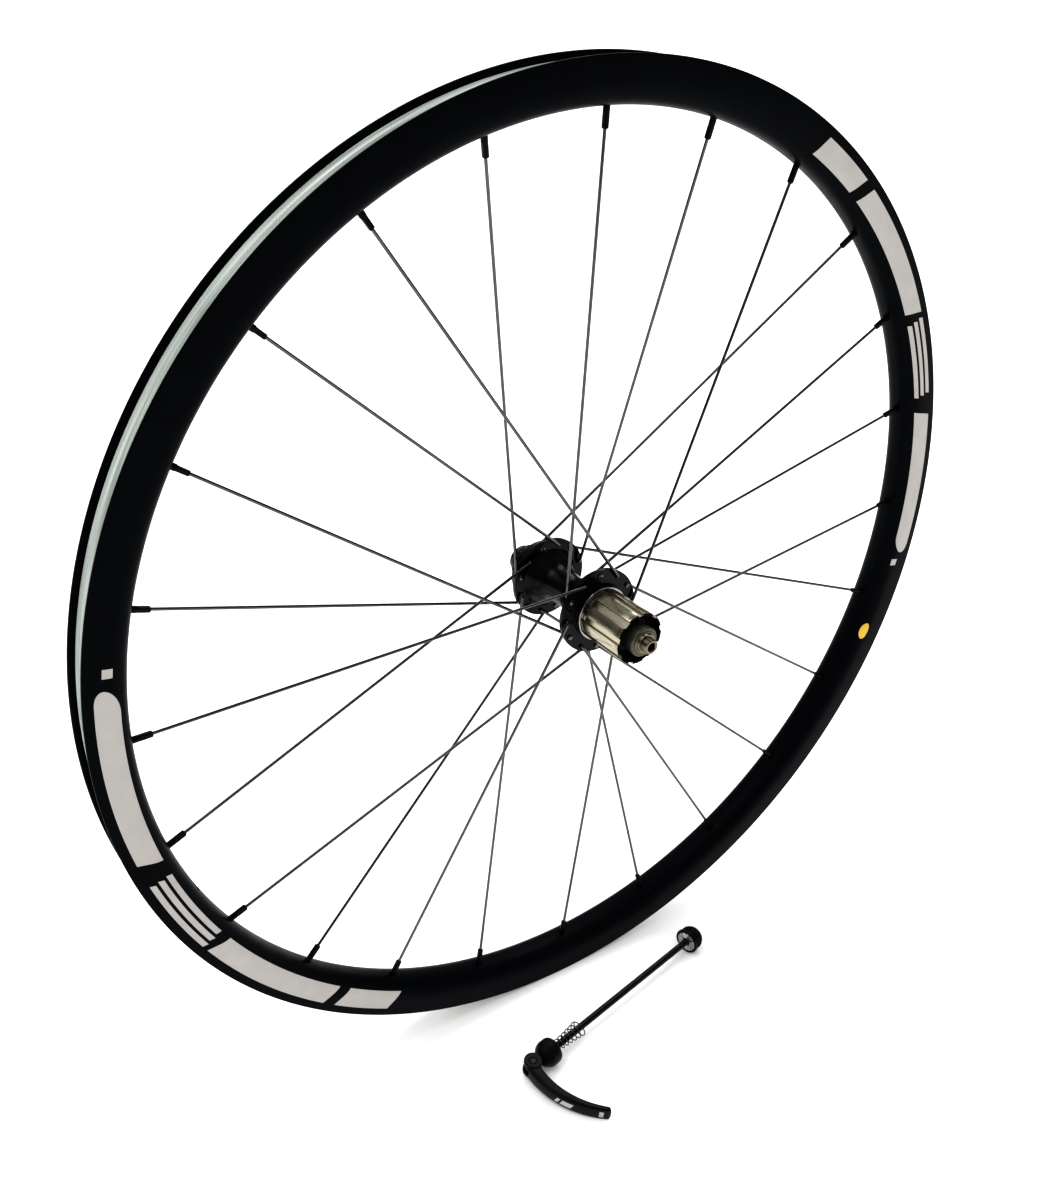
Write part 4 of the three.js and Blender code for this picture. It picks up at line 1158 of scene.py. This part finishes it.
def spring_grids(skewer):
    """A conical spring: a round wire whose middle is a helix of radius 3.7 mm + 2.4 mm times t to the power
    1.5, for t from 0 to 1 along it. The wire narrows to a round tip at each end."""
    t = np.linspace(0, 1, 44 * skewer.spring_turns + 1)
    angle = TURN * skewer.spring_turns * t
    radius = (3.7 + 2.4 * t**1.5) * MM
    centre = np.stack([(22.9 + 27.0 * t) * MM, radius * np.cos(angle), radius * np.sin(angle)], axis=-1)
    ahead = np.gradient(centre, axis=0)
    ahead /= np.linalg.norm(ahead, axis=1, keepdims=True)
    out = np.stack([0 * angle, np.cos(angle), np.sin(angle)], axis=-1)
    out -= ahead * (out * ahead).sum(axis=1, keepdims=True)
    out /= np.linalg.norm(out, axis=1, keepdims=True)
    tip = 1 - np.clip(np.minimum(t, 1 - t) * 600, 0, 1)
    thick = 0.45 * MM * np.sqrt(np.clip(1 - tip**2, 0, 1))
    a = around(10)
    across, along = thick[:, None] * np.cos(a), thick[:, None] * np.sin(a)
    return [grid(to_skewer(carried(centre, np.cross(ahead, out), out, across, along)), (False, True))]


def nut_grids():
    """The nut cap: a collar, and a grip whose twenty ridges are a rounded cosine round the turn."""
    x, r = rounded(np.array(NUT_CAP) * MM, steps=6).T
    angles = around(360)[:, None]
    gripped = ease((x - 175.9 * MM) / (0.5 * MM)) * ease((182.2 * MM - x) / (1.2 * MM)) * (r > 7 * MM)
    lobe = ease(0.5 + 0.85 * np.cos(20 * angles))
    return [grid(spun_on_rod(x, r + gripped * 0.95 * MM * lobe, angles))]


# ------------------------------------------------------------------ stage
def make_world(stage):
    """Camera rays see white, diffuse rays an even light, and glossy rays a soft sky over a pale ground."""
    world = bpy.data.worlds.new("Studio")
    world.use_nodes = True
    world.node_tree.nodes.clear()
    steps = Steps(world.node_tree)
    path = steps.node("ShaderNodeLightPath").outputs
    generated = steps.node("ShaderNodeTexCoord").outputs["Generated"]
    up = steps.node("ShaderNodeSeparateXYZ", {0: generated}).outputs["Z"]
    even, glossy, seen = (
        steps.node("ShaderNodeBackground", {"Color": (1, 1, 1, 1), "Strength": strength}).outputs[0]
        for strength in (stage.ambient, steps.spread(up, -0.1, 0.9, 0.04, 0.30), 1.0)
    )
    lit = steps.node("ShaderNodeMixShader", {0: path["Is Glossy Ray"], 1: even, 2: glossy}).outputs[0]
    both = steps.node("ShaderNodeMixShader", {0: path["Is Camera Ray"], 1: lit, 2: seen}).outputs[0]
    steps.node("ShaderNodeOutputWorld", {0: both})
    return world


SUN_ANGLE = math.radians(26)
CAMERA_PLACE = (-0.41935, -0.52422, 0.35505)
CAMERA_RIGHT = (0.82934, -0.55745, 0.03798)
CAMERA_UP = (0.24755, 0.42753, 0.86944)
CAMERA_BACK = (-0.50091, -0.71166, 0.49257)


def add_light(light, place, ahead):
    """Sets a light at a place, shining ahead."""
    lamp = bpy.data.objects.new(light.name, light)
    lamp.rotation_euler = ahead.to_track_quat("-Z", "Y").to_euler()
    lamp.location = place
    bpy.context.scene.collection.objects.link(lamp)


def soft_box(name, place, target, width, height, power):
    """An area light at a place that faces a target."""
    light = bpy.data.lights.new(name, "AREA")
    light.shape, light.size, light.size_y, light.energy = "RECTANGLE", width, height, power
    add_light(light, place, Vector(target) - Vector(place))


def soft_sun(name, ahead, strength):
    """A broad, even light from far off that shines along a direction."""
    light = bpy.data.lights.new(name, "SUN")
    light.energy, light.angle = strength, SUN_ANGLE
    add_light(light, (0, 0, 0), Vector(ahead))


def add_camera(scene):
    """The camera: in front of the sprocket side, above the hub, looking down and backwards."""
    camera = bpy.data.cameras.new("Camera")
    camera.lens, camera.sensor_width, camera.sensor_fit = 35.455, 36, "AUTO"
    camera.shift_x, camera.shift_y = 0.0042, 0.0236
    holder = bpy.data.objects.new("Camera", camera)
    turn = Matrix((CAMERA_RIGHT, CAMERA_UP, CAMERA_BACK)).transposed()
    holder.matrix_world = Matrix.Translation(CAMERA_PLACE) @ turn.to_4x4()
    scene.collection.objects.link(holder)
    scene.camera = holder


def add_floor(floor_r):
    """A round sheet just under the lowest point of the rim."""
    r = np.array([0, 0.5, 1, 2, 4, 8, 16, floor_r])
    sheet = grid(spun(r, 0, around(96)[:, None])[..., [0, 2, 1]] + [0, 0, FLOOR_Z - 0.2 * MM], (True, False))
    floor = bpy.data.objects.new("floor", mesh_of("floor", [sheet]))
    if floor.data.polygons[0].normal.z < 0:
        floor.data.flip_normals()
    floor.data.materials.append(finish("floor_pale"))
    bpy.context.scene.collection.objects.link(floor)


# ------------------------------------------------------------------ operators
class WHEEL_OT_rim(Operator):
    """Build the rim, its printed bars and its sticker"""

    bl_idname = "wheel.rim"
    bl_label = "Rim"

    def execute(self, context):
        rim = context.scene.wheel_rim
        piece("rim_shell", rim_grids(rim), "rim_black", "wheel", "rim", 35)
        piece("rim_graphics", graphic_grids(rim), "print_grey", "wheel")
        piece("rim_labels", sticker_grids(rim), "print_grey", "wheel")
        piece("rim_sticker", oval_grids(rim), "sticker_yellow", "wheel")
        return {"FINISHED"}


class WHEEL_OT_tape(Operator):
    """Build the rim tape"""

    bl_idname = "wheel.tape"
    bl_label = "Rim Tape"

    def execute(self, context):
        grids = tape_grids(context.scene.wheel_rim)
        piece("tape_strip", grids, "tape_silver", "wheel", "rim_tape", 50)
        return {"FINISHED"}


class WHEEL_OT_spokes(Operator):
    """Build each spoke's wire and nipple"""

    bl_idname = "wheel.spokes"
    bl_label = "Spokes"

    def execute(self, context):
        wire = context.scene.wheel_spokes
        for k, node in enumerate(SPOKE_NODES):
            number = f"{k + 1:02d}"
            piece(f"wire_{number}", wire_grids(k, wire), "wire_steel", "wheel", node, 60)
            piece(f"nipple_{number}", nipple_grids(k, wire), "nipple_black", "wheel", crease=30)
        return {"FINISHED"}


class WHEEL_OT_hub(Operator):
    """Build the hub shell and give the parts inside it their finishes"""

    bl_idname = "wheel.hub"
    bl_label = "Hub"

    def execute(self, context):
        hub = context.scene.wheel_hub
        piece("hub_body", hub_grids(hub), "hub_gloss", "wheel", "hub_shell", 35)
        piece("cap_brake", lathe(BRAKE_CAP), "hub_gloss", "axle", "end_cap_brake", 30)
        refinish("bearing_ground", "hub_bearing_drive", "hub_bearing_brake", "bearing_spacer", "axle")
        refinish("ratchet_hard", "drive_ring")
        return {"FINISHED"}


class WHEEL_OT_freehub(Operator):
    """Build the splined freehub body, its dust ring and its end cap"""

    bl_idname = "wheel.freehub"
    bl_label = "Freehub"

    def execute(self, context):
        body, skins = freehub_grids(context.scene.wheel_freehub), "freehub_nickel mouth_dark"
        ring, cap = lathe(DUST_RING), lathe(DRIVE_CAP, split=7.3)
        piece("splined_body", body, skins, "freehub", "freehub_body", 35)
        piece("polished_ring", ring, "ring_polished", "freehub", "dust_ring", 35)
        piece("cap_drive", cap, "cap_olive stub_warm", "axle", "end_cap_drive", 30)
        refinish("bearing_ground", "freehub_bearing_inner", "pawl_spring")
        refinish("ratchet_hard", "pawl_1", "pawl_2", "pawl_3")
        refinish("seal_rubber", "freehub_seal", "freehub_bearing_outer")
        return {"FINISHED"}


class WHEEL_OT_skewer(Operator):
    """Build the skewer: rod, lever, pin, head, spring and nut"""

    bl_idname = "wheel.skewer"
    bl_label = "Skewer"

    def execute(self, context):
        skewer = context.scene.wheel_skewer
        marks = lever_film(0.42, 0.455, 2.2, 0.03) + lever_film(0.48, 0.60, 2.2, 0.03)
        head_teeth = insert_grids(22.2, 20.2, 7.3)
        nut_teeth = insert_grids(skewer.nut_face / MM, 174.8, 7.8)
        pin = [lathe_pin(plug(2.5, 5.9, 0.4))]
        piece("threaded_rod", rod_grids(skewer), "rod_black", "skewer", "skewer_rod", 35)
        piece("coil_spring", spring_grids(skewer), "spring_steel", "skewer", "cone_spring")
        piece("lever_arm", lever_mesh(), "lever_black", "lever", "skewer_lever", 35)
        piece("lever_mark", marks, "mark_pale", "lever")
        piece("lever_inset", lever_film(0.90, 0.95, 2.6), "insert_steel", "lever")
        piece("pin", pin, "rod_black", "lever", "cam_pin", 35)
        piece("head_cap", [lathe_rod(HEAD_CAP)], "moulded_black", "head", "skewer_head", 30)
        piece("head_teeth", head_teeth, "insert_steel", "head", "head_insert", 25)
        piece("nut_teeth", nut_teeth, "insert_steel", "nut_insert", "nut_insert", 25)
        piece("nut_grip", nut_grids(), "moulded_black", "nut_cap", "nut_cap", 35)
        return {"FINISHED"}


class WHEEL_OT_stage(Operator):
    """Set the pale floor, the studio lights and the camera"""

    bl_idname = "wheel.stage"
    bl_label = "Stage"

    def execute(self, context):
        scene, stage = context.scene, context.scene.wheel_stage
        scene.view_settings.view_transform = "Standard"
        scene.view_settings.look = "High Contrast"
        scene.world = make_world(stage)
        add_floor(stage.floor_r)
        soft_box("key", (-0.9, 0.5, 1.6), (0, -0.05, -0.1), 1.6, 1.2, stage.key_power)
        soft_box("back", (0.6, 1.6, 0.9), (0, 0, 0), 1.8, 0.5, stage.back_power)
        soft_sun("left_sun", (0.45, -0.10, -1.0), stage.sun)
        soft_sun("right_sun", (-0.60, -0.35, -1.0), stage.sun)
        add_camera(scene)
        return {"FINISHED"}


class WHEEL_PT_panel(Panel):
    bl_label = "Road Wheel"
    bl_idname = "WHEEL_PT_panel"
    bl_space_type = "VIEW_3D"
    bl_region_type = "UI"
    bl_category = "Wheel"

    def draw(self, context):
        for operator in OPERATORS:
            self.layout.operator(operator.bl_idname)
        for name in SETTINGS:
            box = self.layout.box()
            group = getattr(context.scene, name)
            for key in group.__annotations__:
                box.prop(group, key)


SETTINGS = {
    "wheel_rim": RimSettings, "wheel_spokes": SpokeSettings, "wheel_hub": HubSettings,
    "wheel_freehub": FreehubSettings, "wheel_skewer": SkewerSettings, "wheel_stage": StageSettings,
}
OPERATORS = (
    WHEEL_OT_rim, WHEEL_OT_tape, WHEEL_OT_spokes, WHEEL_OT_hub, WHEEL_OT_freehub, WHEEL_OT_skewer,
    WHEEL_OT_stage,
)


def register():
    for kind in (*SETTINGS.values(), *OPERATORS, WHEEL_PT_panel):
        bpy.utils.register_class(kind)
    for name, kind in SETTINGS.items():
        setattr(bpy.types.Scene, name, PointerProperty(type=kind))


def unregister():
    for name in SETTINGS:
        delattr(bpy.types.Scene, name)
    for kind in (WHEEL_PT_panel, *reversed(OPERATORS), *reversed(SETTINGS.values())):
        bpy.utils.unregister_class(kind)


def main():
    register()
    bpy.ops.wheel.rim()
    bpy.ops.wheel.tape()
    bpy.ops.wheel.spokes()
    bpy.ops.wheel.hub()
    bpy.ops.wheel.freehub()
    bpy.ops.wheel.skewer()
    bpy.ops.wheel.stage()


if __name__ == "__main__":
    main()
